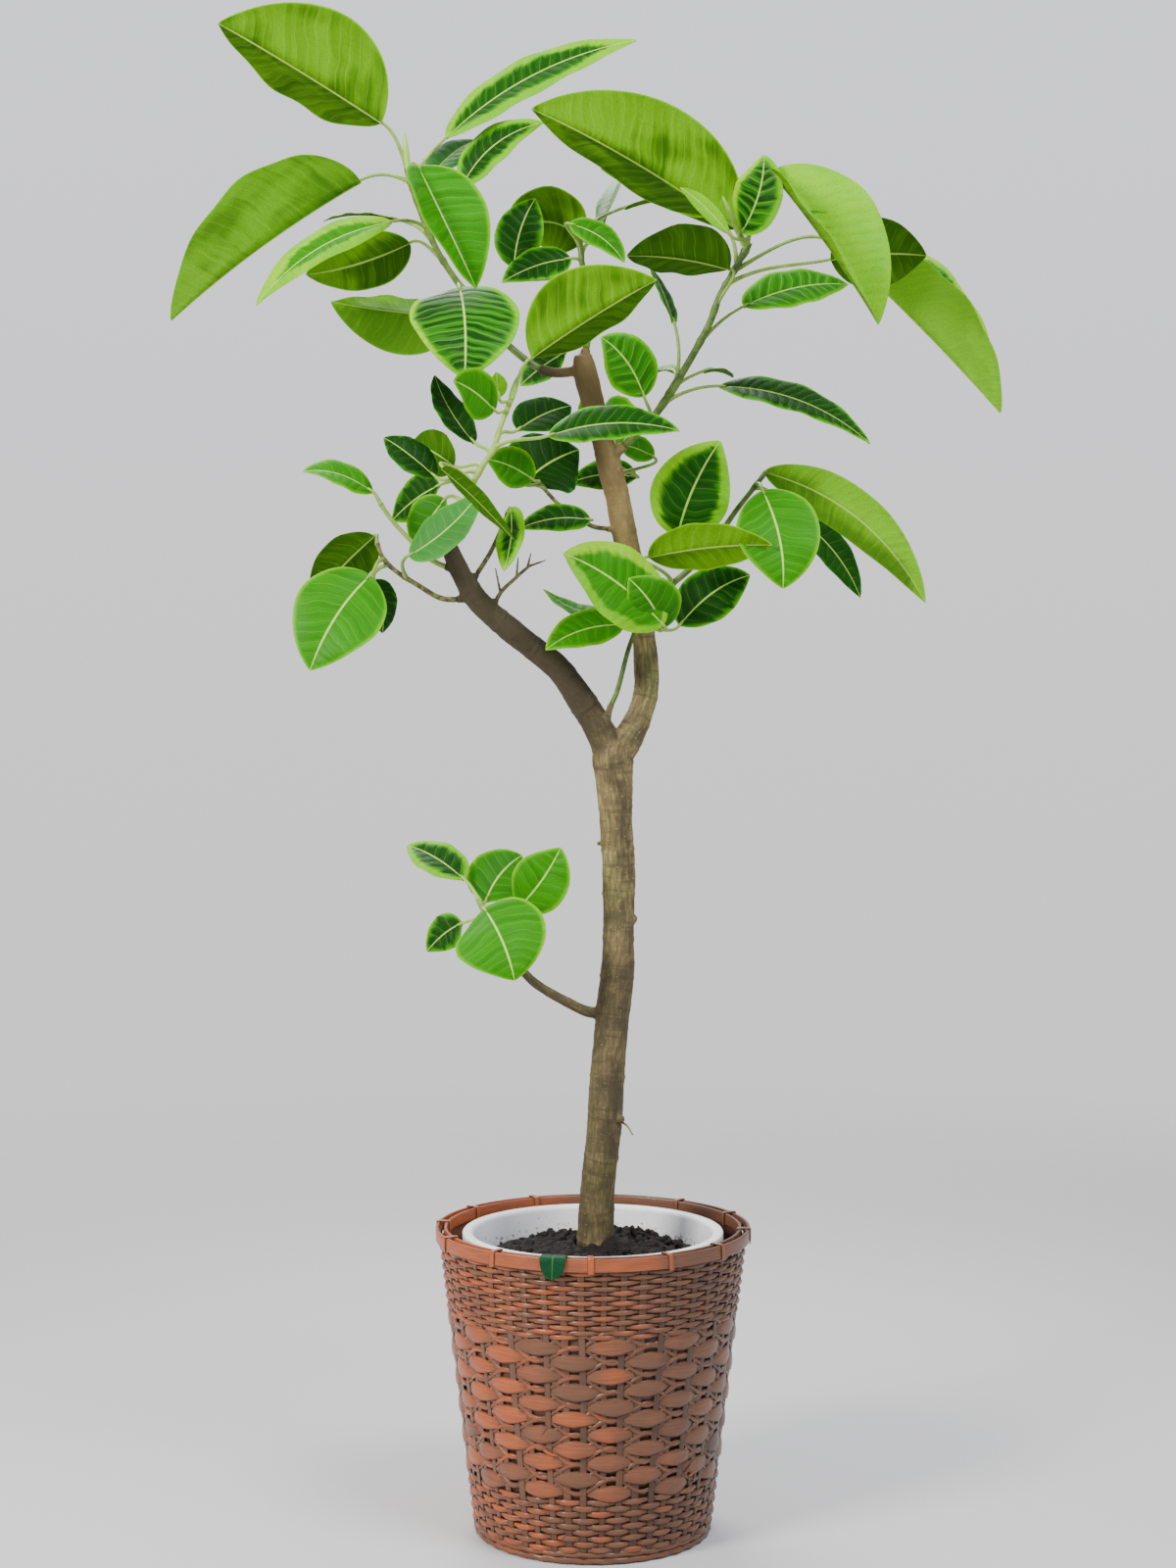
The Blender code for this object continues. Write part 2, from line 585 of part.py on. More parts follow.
def build_tree_wood():
    """Trunk, both limbs, the low branch, the old scars and each shoot's woody spur, as one."""
    trunk = woody("trunk", TRUNK, 17, 12)
    grown = [
        woody("left_limb", LEFT_LIMB, 11, 10),
        woody("right_limb", RIGHT_LIMB, 16, 10),
        woody("low_branch", LOW_BRANCH, 6, 7),
    ]
    for number, (root, end, thick, thin) in enumerate(SCARS):
        scar = np.array([seen(*root), seen(*end)])
        grown.append(tube(f"scar{number}", scar, (thick, thin), 6))
    for name, shoot in SHOOTS.items():
        line, whole = shoot_line(shoot)
        shares = np.linspace(0, shoot["spur"] / whole, 3)
        radii = [SPUR_COLLAR * shoot_radius(shoot, s) for s in shares]
        spur = np.array([point_at(line, s)[0] for s in shares])
        _, cut = point_at(line, shares[-1])
        grown.append(tube("spur_" + name, spur, radii, 5, last=cut))
    return paint(joined(trunk, grown, "trunk"), "bark")


def turned(name, profile, sides, colour_name):
    """A ring of the profile's (radius, height) points, turned about the pot's axis."""
    around = np.arange(sides) * 2 * math.pi / sides
    points = [
        (radius * math.cos(angle), radius * math.sin(angle), height)
        for radius, height in profile
        for angle in around
    ]
    faces = ring_faces(len(profile), sides, capped=False)
    last = (len(profile) - 1) * sides
    faces += [(last + i, last + (i + 1) % sides, (i + 1) % sides, i) for i in range(sides)]
    return paint(new_object(name, points, faces), colour_name)


def wall_radius(height):
    """The woven wall's mean outer radius at a height: straight sides that lean out upwards."""
    share = height / BASKET_HEIGHT
    return BASKET_FOOT_RADIUS + (BASKET_TOP_RADIUS - BASKET_FOOT_RADIUS) * share


def weave_levels():
    """Every height of the woven wall's grid, as (height, row number, share, zone).

    The share is 0 where two rows meet and 1 along a row's middle. The grid has two columns for
    each stake: in the broad zone a splint stands out over every other stake, and in the fine
    zones over every other column.
    """
    levels = [(0.0, 0, 0.0, "foot"), (FOOT_BAND, 0, 1.0, "foot")]
    height = FOOT_BAND + 2.0
    zones = [("fine", LOWER_ROWS, LOWER_ROW), ("broad", BROAD_ROWS, BROAD_ROW)]
    top = BASKET_HEIGHT - HOOP_HEIGHT + 4.0
    used = height + LOWER_ROWS * LOWER_ROW + BROAD_ROWS * BROAD_ROW
    zones.append(("fine", UPPER_ROWS, (top - used) / UPPER_ROWS))
    row = 0
    for zone, rows, pitch in zones:
        for _ in range(rows):
            levels.append((height, row, 0.0, zone))
            levels.append((height + pitch / 2, row, 1.0, zone))
            height += pitch
            row += 1
    levels.append((top, row, 0.0, "band"))
    levels.append((BASKET_HEIGHT - 1.5, row, 0.0, "band"))
    return levels


def weave_relief(column, row, share, zone):
    """How far the weave stands out at a column: over a stake, behind it, or part of the way."""
    if zone == "foot":
        return 1.5 * share
    if zone == "band":
        return 0.0
    if zone == "fine":
        over = 1 if (column + row) % 2 else -1
        return FINE_RELIEF * (share * over - (1 - share))
    over = math.cos(math.pi / 2 * (column + 2 * row))
    return BROAD_RELIEF * (share * (0.25 + 0.75 * over) - 0.5 * (1 - share))


def build_basket_wall():
    """The woven wall with its floor: relief outside, by row and stake, and a plain inside."""
    around = np.arange(COLUMNS_ROUND) * 2 * math.pi / COLUMNS_ROUND
    rings = []
    for height, row, share, zone in weave_levels():
        rings.append([
            (wall_radius(height) + weave_relief(column, row, share, zone), height)
            for column in range(COLUMNS_ROUND)
        ])
    inside = wall_radius(BASKET_HEIGHT) - WALL_THICKNESS, BASKET_HEIGHT - 1.5
    corner = wall_radius(BASKET_FLOOR) - WALL_THICKNESS - 1.5, BASKET_FLOOR
    rings += [[inside] * COLUMNS_ROUND, [corner] * COLUMNS_ROUND]
    points = [
        (radius * math.cos(angle), radius * math.sin(angle), height)
        for ring in rings
        for (radius, height), angle in zip(ring, around)
    ]
    faces = ring_faces(len(rings), COLUMNS_ROUND, capped=False)
    last = (len(rings) - 1) * COLUMNS_ROUND
    points += [(0, 0, 0), (0, 0, BASKET_FLOOR)]
    bottom, floor = len(points) - 2, len(points) - 1
    for i in range(COLUMNS_ROUND):
        j = (i + 1) % COLUMNS_ROUND
        faces.append((i, j, bottom))
        faces.append((last + i, last + j, floor))
    return paint(new_object("basket_wall", points, faces, smooth=False), "wicker")


def build_hoops():
    """The outer and inner hoop. Each binding splint is one with the outer hoop, passes over the
    inner hoop, and comes down its inner side."""
    top = BASKET_HEIGHT + HOOP_OVERHANG
    low = BASKET_HEIGHT - HOOP_HEIGHT
    ease = 1.0
    wall_out = BASKET_TOP_RADIUS + GAP
    face = wall_out + HOOP_THICKNESS
    wall_in = BASKET_TOP_RADIUS - WALL_THICKNESS - HOOP_INSET
    outer = turned("basket_rim_outer", [
        (wall_out, low + 6), (face, low + 6), (face, top - ease), (face - ease, top),
        (wall_out, top),
    ], COLUMNS_ROUND, "wicker")
    inner = turned("basket_rim_inner", [
        (wall_in - HOOP_THICKNESS, low + 7), (wall_in, low + 7), (wall_in, top),
        (wall_in - HOOP_THICKNESS, top),
    ], COLUMNS_ROUND, "wicker")
    ties = [
        build_tie(f"tie{angle}", math.radians(angle), wall_out, wall_in, low, top)
        for angle in TIE_ANGLES
    ]
    return paint(joined(outer, ties, "basket_rim_outer"), "wicker"), inner


def build_tie(name, angle, wall_out, wall_in, low, top):
    """A splint folded over the rim like a staple, as an outline extruded along the rim."""
    face = wall_out + HOOP_THICKNESS + TIE_THICKNESS
    back = (wall_in - HOOP_THICKNESS) * math.cos(math.pi / COLUMNS_ROUND) - GAP
    over = top + GAP
    outline = [
        (face, low + 5), (face, over + TIE_THICKNESS - 1.2), (face - 1.2, over + TIE_THICKNESS),
        (back - TIE_THICKNESS, over + TIE_THICKNESS), (back - TIE_THICKNESS, low + 9),
        (back, low + 9), (back, over), (wall_out + 1.2, over), (wall_out + 1.2, top - 4),
        (wall_out + 1.2, low + 5),
    ]
    out = np.array([math.cos(angle), math.sin(angle), 0])
    aside = np.array([-math.sin(angle), math.cos(angle), 0])
    points = [
        out * radius + np.array([0, 0, height]) + aside * side * TIE_WIDTH / 2
        for side in (-1, 1)
        for radius, height in outline
    ]
    return new_object(name, points, ring_faces(2, len(outline), capped=True))


def build_pot():
    """The white pot: a tapered wall with a rolled lip, standing on the basket's floor."""
    foot = BASKET_FLOOR + GAP
    top = foot + POT_HEIGHT
    lip = POT_LIP_RADIUS
    inner = POT_TOP_RADIUS - POT_WALL
    profile = [
        (POT_DRAIN_RADIUS, foot), (POT_FOOT_RADIUS, foot), (POT_FOOT_RADIUS + 2, foot + 4),
        (POT_TOP_RADIUS, top - POT_LIP_HEIGHT), (lip - 1.5, top - POT_LIP_HEIGHT),
        (lip, top - POT_LIP_HEIGHT + 2), (lip, top - 4), (lip - 1.5, top - 1.2), (lip - 4.5, top),
        (inner + 3, top), (inner, top - 3), (POT_FOOT_RADIUS - POT_WALL, foot + POT_WALL),
        (POT_DRAIN_RADIUS, foot + POT_WALL),
    ]
    return turned("inner_pot", profile, POT_SIDES, "white_plastic")


def pot_inner_radius(height):
    """The pot's inner wall at a height."""
    low = BASKET_FLOOR + GAP + POT_WALL
    high = BASKET_FLOOR + GAP + POT_HEIGHT - 3
    share = (height - low) / (high - low)
    narrow = POT_FOOT_RADIUS - POT_WALL
    return narrow + (POT_TOP_RADIUS - POT_WALL - narrow) * share


def soil_height(x, y):
    """The soil's surface: a low mound round the trunk, with lumps and one higher heap."""
    reach = math.hypot(x, y) / (POT_TOP_RADIUS - POT_WALL)
    lumps = math.sin(0.075 * x + 1.3) * math.cos(0.062 * y - 0.6) + 0.6 * math.sin(0.13 * (x + y))
    away = math.hypot(x - HEAP_PLACE[0], y - HEAP_PLACE[1]) / HEAP_SPREAD
    heap = HEAP_HEIGHT * math.exp(-away**2 / 2)
    return SOIL_TOP + SOIL_MOUND * (1 - reach**1.5) + SOIL_LUMP * lumps * reach + heap


def build_soil():
    """The soil: it fills the pot, and has a plain hole that the trunk's buried end stands in."""
    around = np.arange(SOIL_SIDES) * 2 * math.pi / SOIL_SIDES
    hole = TRUNK[0][3] + 1.2
    hole_floor = TRUNK[0][1] - GAP
    centre = TRUNK[0][0]
    edge = POLYGON_INSET * (pot_inner_radius(SOIL_TOP) - GAP)
    points = []
    for radius in (hole, *SOIL_RINGS, edge):
        for angle in around:
            middle = centre * (edge - radius) / (edge - hole)
            x, y = middle + radius * math.cos(angle), radius * math.sin(angle)
            points.append((x, y, soil_height(x, y)))
    below = BASKET_FLOOR + 2 * GAP + POT_WALL
    foot = POLYGON_INSET * (pot_inner_radius(below) - GAP)
    points += [(foot * math.cos(a), foot * math.sin(a), below) for a in around]
    rings = len(points) // SOIL_SIDES
    faces = ring_faces(rings, SOIL_SIDES, capped=False)
    faces.append(tuple((rings - 1) * SOIL_SIDES + i for i in range(SOIL_SIDES)))
    first = len(points)
    points += [(centre + hole * math.cos(a), hole * math.sin(a), hole_floor) for a in around]
    faces += [(i, (i + 1) % SOIL_SIDES, first + (i + 1) % SOIL_SIDES, first + i)
              for i in range(SOIL_SIDES)]
    faces.append(tuple(first + i for i in range(SOIL_SIDES)))
    return paint(new_object("soil", points, faces), "soil")


def build_caught_leaf():
    """The small dropped leaf that hangs over the rim, bent in an arch clear of both hoops."""
    angle = math.radians(CAUGHT_LEAF_ANGLE)
    out = np.array([math.cos(angle), math.sin(angle), 0])
    aside = np.array([-math.sin(angle), math.cos(angle), 0])
    top = BASKET_HEIGHT + HOOP_OVERHANG + 4 * GAP
    outer = BASKET_TOP_RADIUS + HOOP_THICKNESS + 6 * GAP + 0.6
    inner = BASKET_TOP_RADIUS - WALL_THICKNESS - HOOP_INSET - HOOP_THICKNESS - 8 * GAP
    path = [
        (inner - 1.5, top - CAUGHT_LEAF_INSIDE, 0.1), (inner - 0.8, top - 12, 0.55),
        (inner, top - 2.5, 0.85), (inner + 3.0, top, 0.95), (outer - 3.0, top, 1.0),
        (outer, top - 2.5, 1.0), (outer + 0.8, top - 9, 0.92),
        (outer + 1.6, top - 16, 0.68), (outer + 2.0, top - CAUGHT_LEAF_OUTSIDE, 0.1),
    ]
    thick = BLADE_THICKNESS
    points = []
    middle = (inner + outer) / 2
    for radius, height, share in path:
        lift = np.array([radius - middle, max(0.0, height - top + 6) * 2.2])
        lift = lift / np.linalg.norm(lift) * thick
        for outward in (0, 1):
            for side in (-1.0, 0.0, 1.0):
                spot = out * (radius + lift[0] * outward) + aside * side * share * (
                    CAUGHT_LEAF_WIDTH / 2)
                points.append(spot + np.array([0, 0, height + lift[1] * outward]))
    faces = []
    order = (0, 1, 2, 5, 4, 3)
    for row in range(len(path) - 1):
        for i in range(6):
            a, b = row * 6 + order[i], row * 6 + order[(i + 1) % 6]
            faces.append((a, b, b + 6, a + 6))
    faces.append(tuple(order))
    faces.append(tuple((len(path) - 1) * 6 + i for i in order))
    return paint(new_object("caught_leaf", points, faces), "leaf")


def clear_scene():
    for item in list(bpy.data.objects):
        bpy.data.objects.remove(item)


def main():
    clear_scene()
    build_basket_wall()
    build_hoops()
    build_pot()
    build_soil()
    build_tree_wood()
    for name, shoot in SHOOTS.items():
        build_shoot(name, shoot)
    build_caught_leaf()


main()
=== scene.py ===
"""The looks of the potted council tree: leaves, bark, soil, white pot and wicker basket.

Lengths here are millimetres, and each mesh is written in metres. The tree's points are drawn on a
front elevation through the pot's axis, as x to the right, z up and how near to the viewer they are.
"""

import math
from functools import partial

import bmesh
import bpy
import numpy as np
from bpy.props import FloatProperty, FloatVectorProperty, IntProperty, PointerProperty
from bpy.types import Operator, Panel, PropertyGroup
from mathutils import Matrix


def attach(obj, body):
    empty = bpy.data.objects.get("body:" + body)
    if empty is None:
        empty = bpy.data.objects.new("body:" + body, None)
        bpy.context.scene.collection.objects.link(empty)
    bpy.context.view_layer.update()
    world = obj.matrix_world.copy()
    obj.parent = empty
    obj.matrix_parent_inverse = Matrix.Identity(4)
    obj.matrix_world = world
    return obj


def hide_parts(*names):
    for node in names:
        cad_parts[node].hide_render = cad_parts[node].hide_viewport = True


bl_info = {
    "name": "Potted council tree",
    "version": (1, 0, 0),
    "blender": (4, 5, 0),
    "location": "View3D > Sidebar > Council tree",
    "description": "Dresses the packed model of a potted council tree",
    "category": "Object",
}

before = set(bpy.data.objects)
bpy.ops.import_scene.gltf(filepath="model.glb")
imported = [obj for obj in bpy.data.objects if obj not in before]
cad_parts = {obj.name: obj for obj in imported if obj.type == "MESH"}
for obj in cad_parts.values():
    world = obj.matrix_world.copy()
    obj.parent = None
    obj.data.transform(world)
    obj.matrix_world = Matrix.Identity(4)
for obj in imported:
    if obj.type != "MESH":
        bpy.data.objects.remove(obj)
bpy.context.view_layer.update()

MM = 0.001

# The eye of the front elevation, as in the part's source
EYE_DISTANCE = 2800.0
EYE_HEIGHT = 908.0
EYE_ASIDE = -5.0

# The camera stands at that eye. Its focal length is the elevation's own scale, 1 mm a pixel, with
# a little for the tilt that takes the place of a shifted lens.
PHOTO_HEIGHT = 1600.0
PIXELS_PER_UNIT = 2806.0
SENSOR_HEIGHT = 36.0
CAMERA_TILT = 2.85

# Studio floor
STUDIO_RADIUS = 9000.0
STUDIO_TOP = -0.05
STUDIO_LOW = -3.0
# The height that the lights are aimed at
LIGHT_AIM = 750.0

# Basket
BASKET_HEIGHT = 313.0
BASKET_TOP_RADIUS = 158.0
BASKET_FOOT_RADIUS = 121.0
WALL_THICKNESS = 4.2
FLOOR_THICKNESS = 8.0
HOOP_OVERHANG = 2.0
HOOP_INSET = 1.2
HOOP_THICKNESS = 3.0
HOOP_LOW = 11.0
TIE_ANGLES = (-128, -91, -62, -37, -7, 23, 53, 84, 114, 145, 174, 203)
CLEARANCE = 0.3
STAKES = 48
# How square the hoops' section is: the power of the cosine and sine that give it
HOOP_EASE = 0.35
# Where the weave starts above the foot's ropes, and what it leaves free under the rim
WEAVE_FOOT = 12.0
WEAVE_HEAD = 11.0
# A fine splint's half height, as a share of its row's height
FINE_SHARE = 0.55
# How far inside the wall's outer radius the splints' middles, the stakes and the inner layer are
WEAVE_INSET = 1.3
STAKE_INSET = 0.95
INNER_INSET = 3.55
# The height of a row of the inner layer, the width of one of the floor, and the wall's mean
# radius, which turns an angle into a length
INNER_ROW = 7.6
FLOOR_ROW = 8.0
MEAN_RADIUS = 140.0
# The foot's two ropes: height, how far inside the foot's radius, and half the thickness
FOOT_ROPES = ((4.4, 2.4, 3.6), (10.6, 1.6, 3.4))
# A rim tie: half its width, half its thickness, and its length over both hoops
TIE_WIDTH = 2.9
TIE_THICKNESS = 0.6
TIE_LENGTH = 45.0

# Split ends of splint that stand off the weave: the direction from the axis in degrees, the
# height, the length, the lean from level in radians, and how far the end curls up.
SLIVERS = [
    (-113, 126, 26, 1.2, -9), (-111, 118, 17, -0.5, 3), (-46, 84, 20, 0.9, -4),
    (-43, 80, 26, 0.5, -7), (-40, 72, 15, 1.3, 3), (-48, 66, 18, 0.1, 2), (-38, 48, 16, 0.6, 0),
    (-106, 27, 9, 0.4, 1), (22, 140, 15, 1.0, -3), (128, 96, 18, 0.4, 4),
]

# Inner pot and soil
POT_FOOT = FLOOR_THICKNESS + CLEARANCE
POT_HEIGHT = 302.0
POT_LIP_RADIUS = 134.0
POT_LIP_HEIGHT = 15.0
POT_TOP_RADIUS = 126.0
POT_FOOT_RADIUS = 96.0
POT_WALL = 4.0
POT_DRAIN_RADIUS = 10.0
SOIL_TOP = 277.0
SOIL_MOUND = 21.0
SOIL_LUMP = 3.0
# The heap of looser soil behind the trunk: its middle, height and spread
HEAP_PLACE = (38.0, 30.0)
HEAP_HEIGHT = 9.0
HEAP_SPREAD = 32.0
# The soil's outer edge, its radius at the pot's floor, and its hole as a share of the stump
SOIL_EDGE = 120.0
SOIL_FOOT = 92.0
HOLE_SHARE = 0.86
# The crumbs of its top, as layers of noise: height, size and seed
CRUMBS = ((9, 16.0, 1), (6, 7.0, 2), (3.4, 3.2, 3))

# Leaf blades, as in the part's source
BLADE_THICKNESS = 0.9
MIDRIB_DEPTH = 2.2
LEAF_FOLD = 0.28
LEAF_CURL = 0.22
EDGE_WAVE = 0.035
PETIOLE_RADIUS = 2.1
SPUR_COLLAR = 1.25
SPEAR_RADIUS = 3.2
PRONG_RADIUS = 1.1

# Finer forms of the blades and stems
MIDRIB_WIDTH = 1.4
GROOVE_DEPTH = 0.7
GROOVE_WIDTH = 1.5
# A blade gets all its rows from this length, and all its columns above this width
FULL_BLADE = 190.0
NARROW_BLADE = 40.0
# How far each leaf's pattern lies from the last one's
PATTERN_STEP = 311.0
# The ring at each leaf's node on a green stem: its height as a share of the radius, its length
NODE_SWELL = 0.28
NODE_LENGTH = 2.6

# The woody stems: (x, z, near, radius) along each axis, from its root outwards.
TRUNK = [
    (1, 182, 0, 23), (1, 240, 0, 21), (2, 290, 0, 18.6), (5, 353, 3, 17.4), (11, 410, 6, 17.6),
    (14.5, 467, 8, 17.3), (19.5, 525, 6, 17.2), (25, 576, 2, 16.8), (26, 614, -3, 16),
    (26.5, 653, -6, 16), (26, 691, -6, 16.6), (23.5, 729, -3, 16.8), (22, 767, 0, 18.4),
    (20, 797, 0, 20), (20, 812, 0, 18),
]
LEFT_LIMB = [
    (19, 796, 0, 16), (8, 822, 3, 15.2), (-11.5, 853, 10, 14), (-33, 884, 20, 12.8),
    (-58, 905, 31, 12.4), (-86, 927, 45, 12), (-115, 953, 58, 11.2), (-131, 977, 68, 10),
    (-142, 1000, 76, 8.6), (-147, 1013, 79, 7),
]
RIGHT_LIMB = [
    (23, 797, 0, 16), (35, 814, -4, 15), (47, 838, -12, 13.2), (54, 863, -20, 12.5),
    (54, 891, -26, 12.2), (51.5, 921, -30, 11.8), (46, 962, -32, 12), (33.5, 1016, -32, 12.4),
    (24.5, 1062, -30, 12.2), (18, 1085, -28, 12.6), (11, 1113, -24, 10.8), (-3, 1166, -18, 12),
    (-9, 1192, -14, 11), (-10, 1203, -13, 8.5),
]
LOW_BRANCH = [
    (19, 534, 4, 6.5), (-4, 535, 8, 5.4), (-30, 547, 16, 4.9), (-57, 563, 24, 4.5),
    (-76, 581, 28, 4.1),
]
# The grid that the wood is remeshed on, and what that and smoothing take off its radius
SKIN_VOXEL = 1.5
SKIN_LOSS = 0.3
# Rings that old leaves left in the bark: how far along the stem, and how high
BARK_RINGS = (
    (34, 0.7), (71, 0.4), (118, 0.8), (150, 0.4), (205, 0.7), (248, 0.5), (290, 0.8), (341, 0.5),
    (392, 0.7), (430, 0.4), (475, 0.6), (520, 0.7), (566, 0.5), (610, 0.6), (655, 0.5),
)
# Old branch scars, as short stubs: root, end, and the radius at each. The thin one is the shred.
SHRED_SCAR = 3
SCARS = [
    ((20, 707, -5), (4, 708, 2), 3.4, 1.6),
    ((28, 632, -6), (44, 630, 0), 7.0, 4.2),
    ((20, 426, 8), (30, 424, 20), 6.0, 4.0),
    ((24, 424, 14), (41, 408, 24), 1.6, 0.9),
    ((18, 1088, -28), (29, 1087, -20), 7.0, 4.4),
    ((22, 770, 0), (34, 778, 12), 6.0, 3.6),
    ((14, 480, 6), (6, 484, 20), 5.0, 3.2),
]

# How each leaf is marked: how dark its middle is, how far in its lime margin reaches, how much
# painted bluish sheen it takes, how strongly it is striped along its side veins, its share of
# yellow, and how dark its underside is, in part its own tone and in part painted shade. Below zero,
# that last value paints sunlight on its underside; above one, it says how much of the fallen leaf's
# colour the upper face takes.
LOOKS = {
    "dark": (1.0, 0.0, 0.0, 0.1, 0.1, 0.9),
    "deep": (1.0, -0.12, 0.0, 0.0, 0.0, 1.0),
    "dim": (0.9, -0.2, 0.0, 0.0, 0.0, 0.95),
    "striped": (1.0, 0.17, 0.0, 0.8, 0.9, 0.6),
    "edged": (0.9, 0.34, 0.0, 0.15, 0.35, 0.6),
    "half": (1.0, 0.22, 0.0, 0.1, 0.1, 0.6),
    "sunny": (0.1, 0.42, 0.0, 0.1, 0.6, 0.3),
    "veined": (0.45, 0.08, 0.0, 0.9, 0.2, 0.6),
    "bright": (0.1, 0.04, 0.0, 0.15, 0.2, 0.4),
    "green": (0.4, 0.03, 0.0, 0.15, 0.1, 0.6),
    "grey": (0.6, -0.05, 0.35, 0.1, 0.0, 0.7),
    "lime": (0.0, 2.4, 0.0, 0.1, 0.3, 0.1),
    "olive": (0.1, 0.2, 0.0, 0.2, 0.34, 0.64),
    "shady": (0.5, 0.1, 0.0, 0.2, 0.5, 0.85),
    "veiled": (1.0, 0.05, 0.15, 0.3, 0.85, 0.0),
    "split": (1.0, 0.2, 0.2, 0.9, 1.2, -0.8),
    "pale": (0.4, -0.05, 0.4, 0.2, 0.0, 0.6),
    "caught": (1.0, -0.2, 0.1, 0.0, 0.0, 1.85),
}
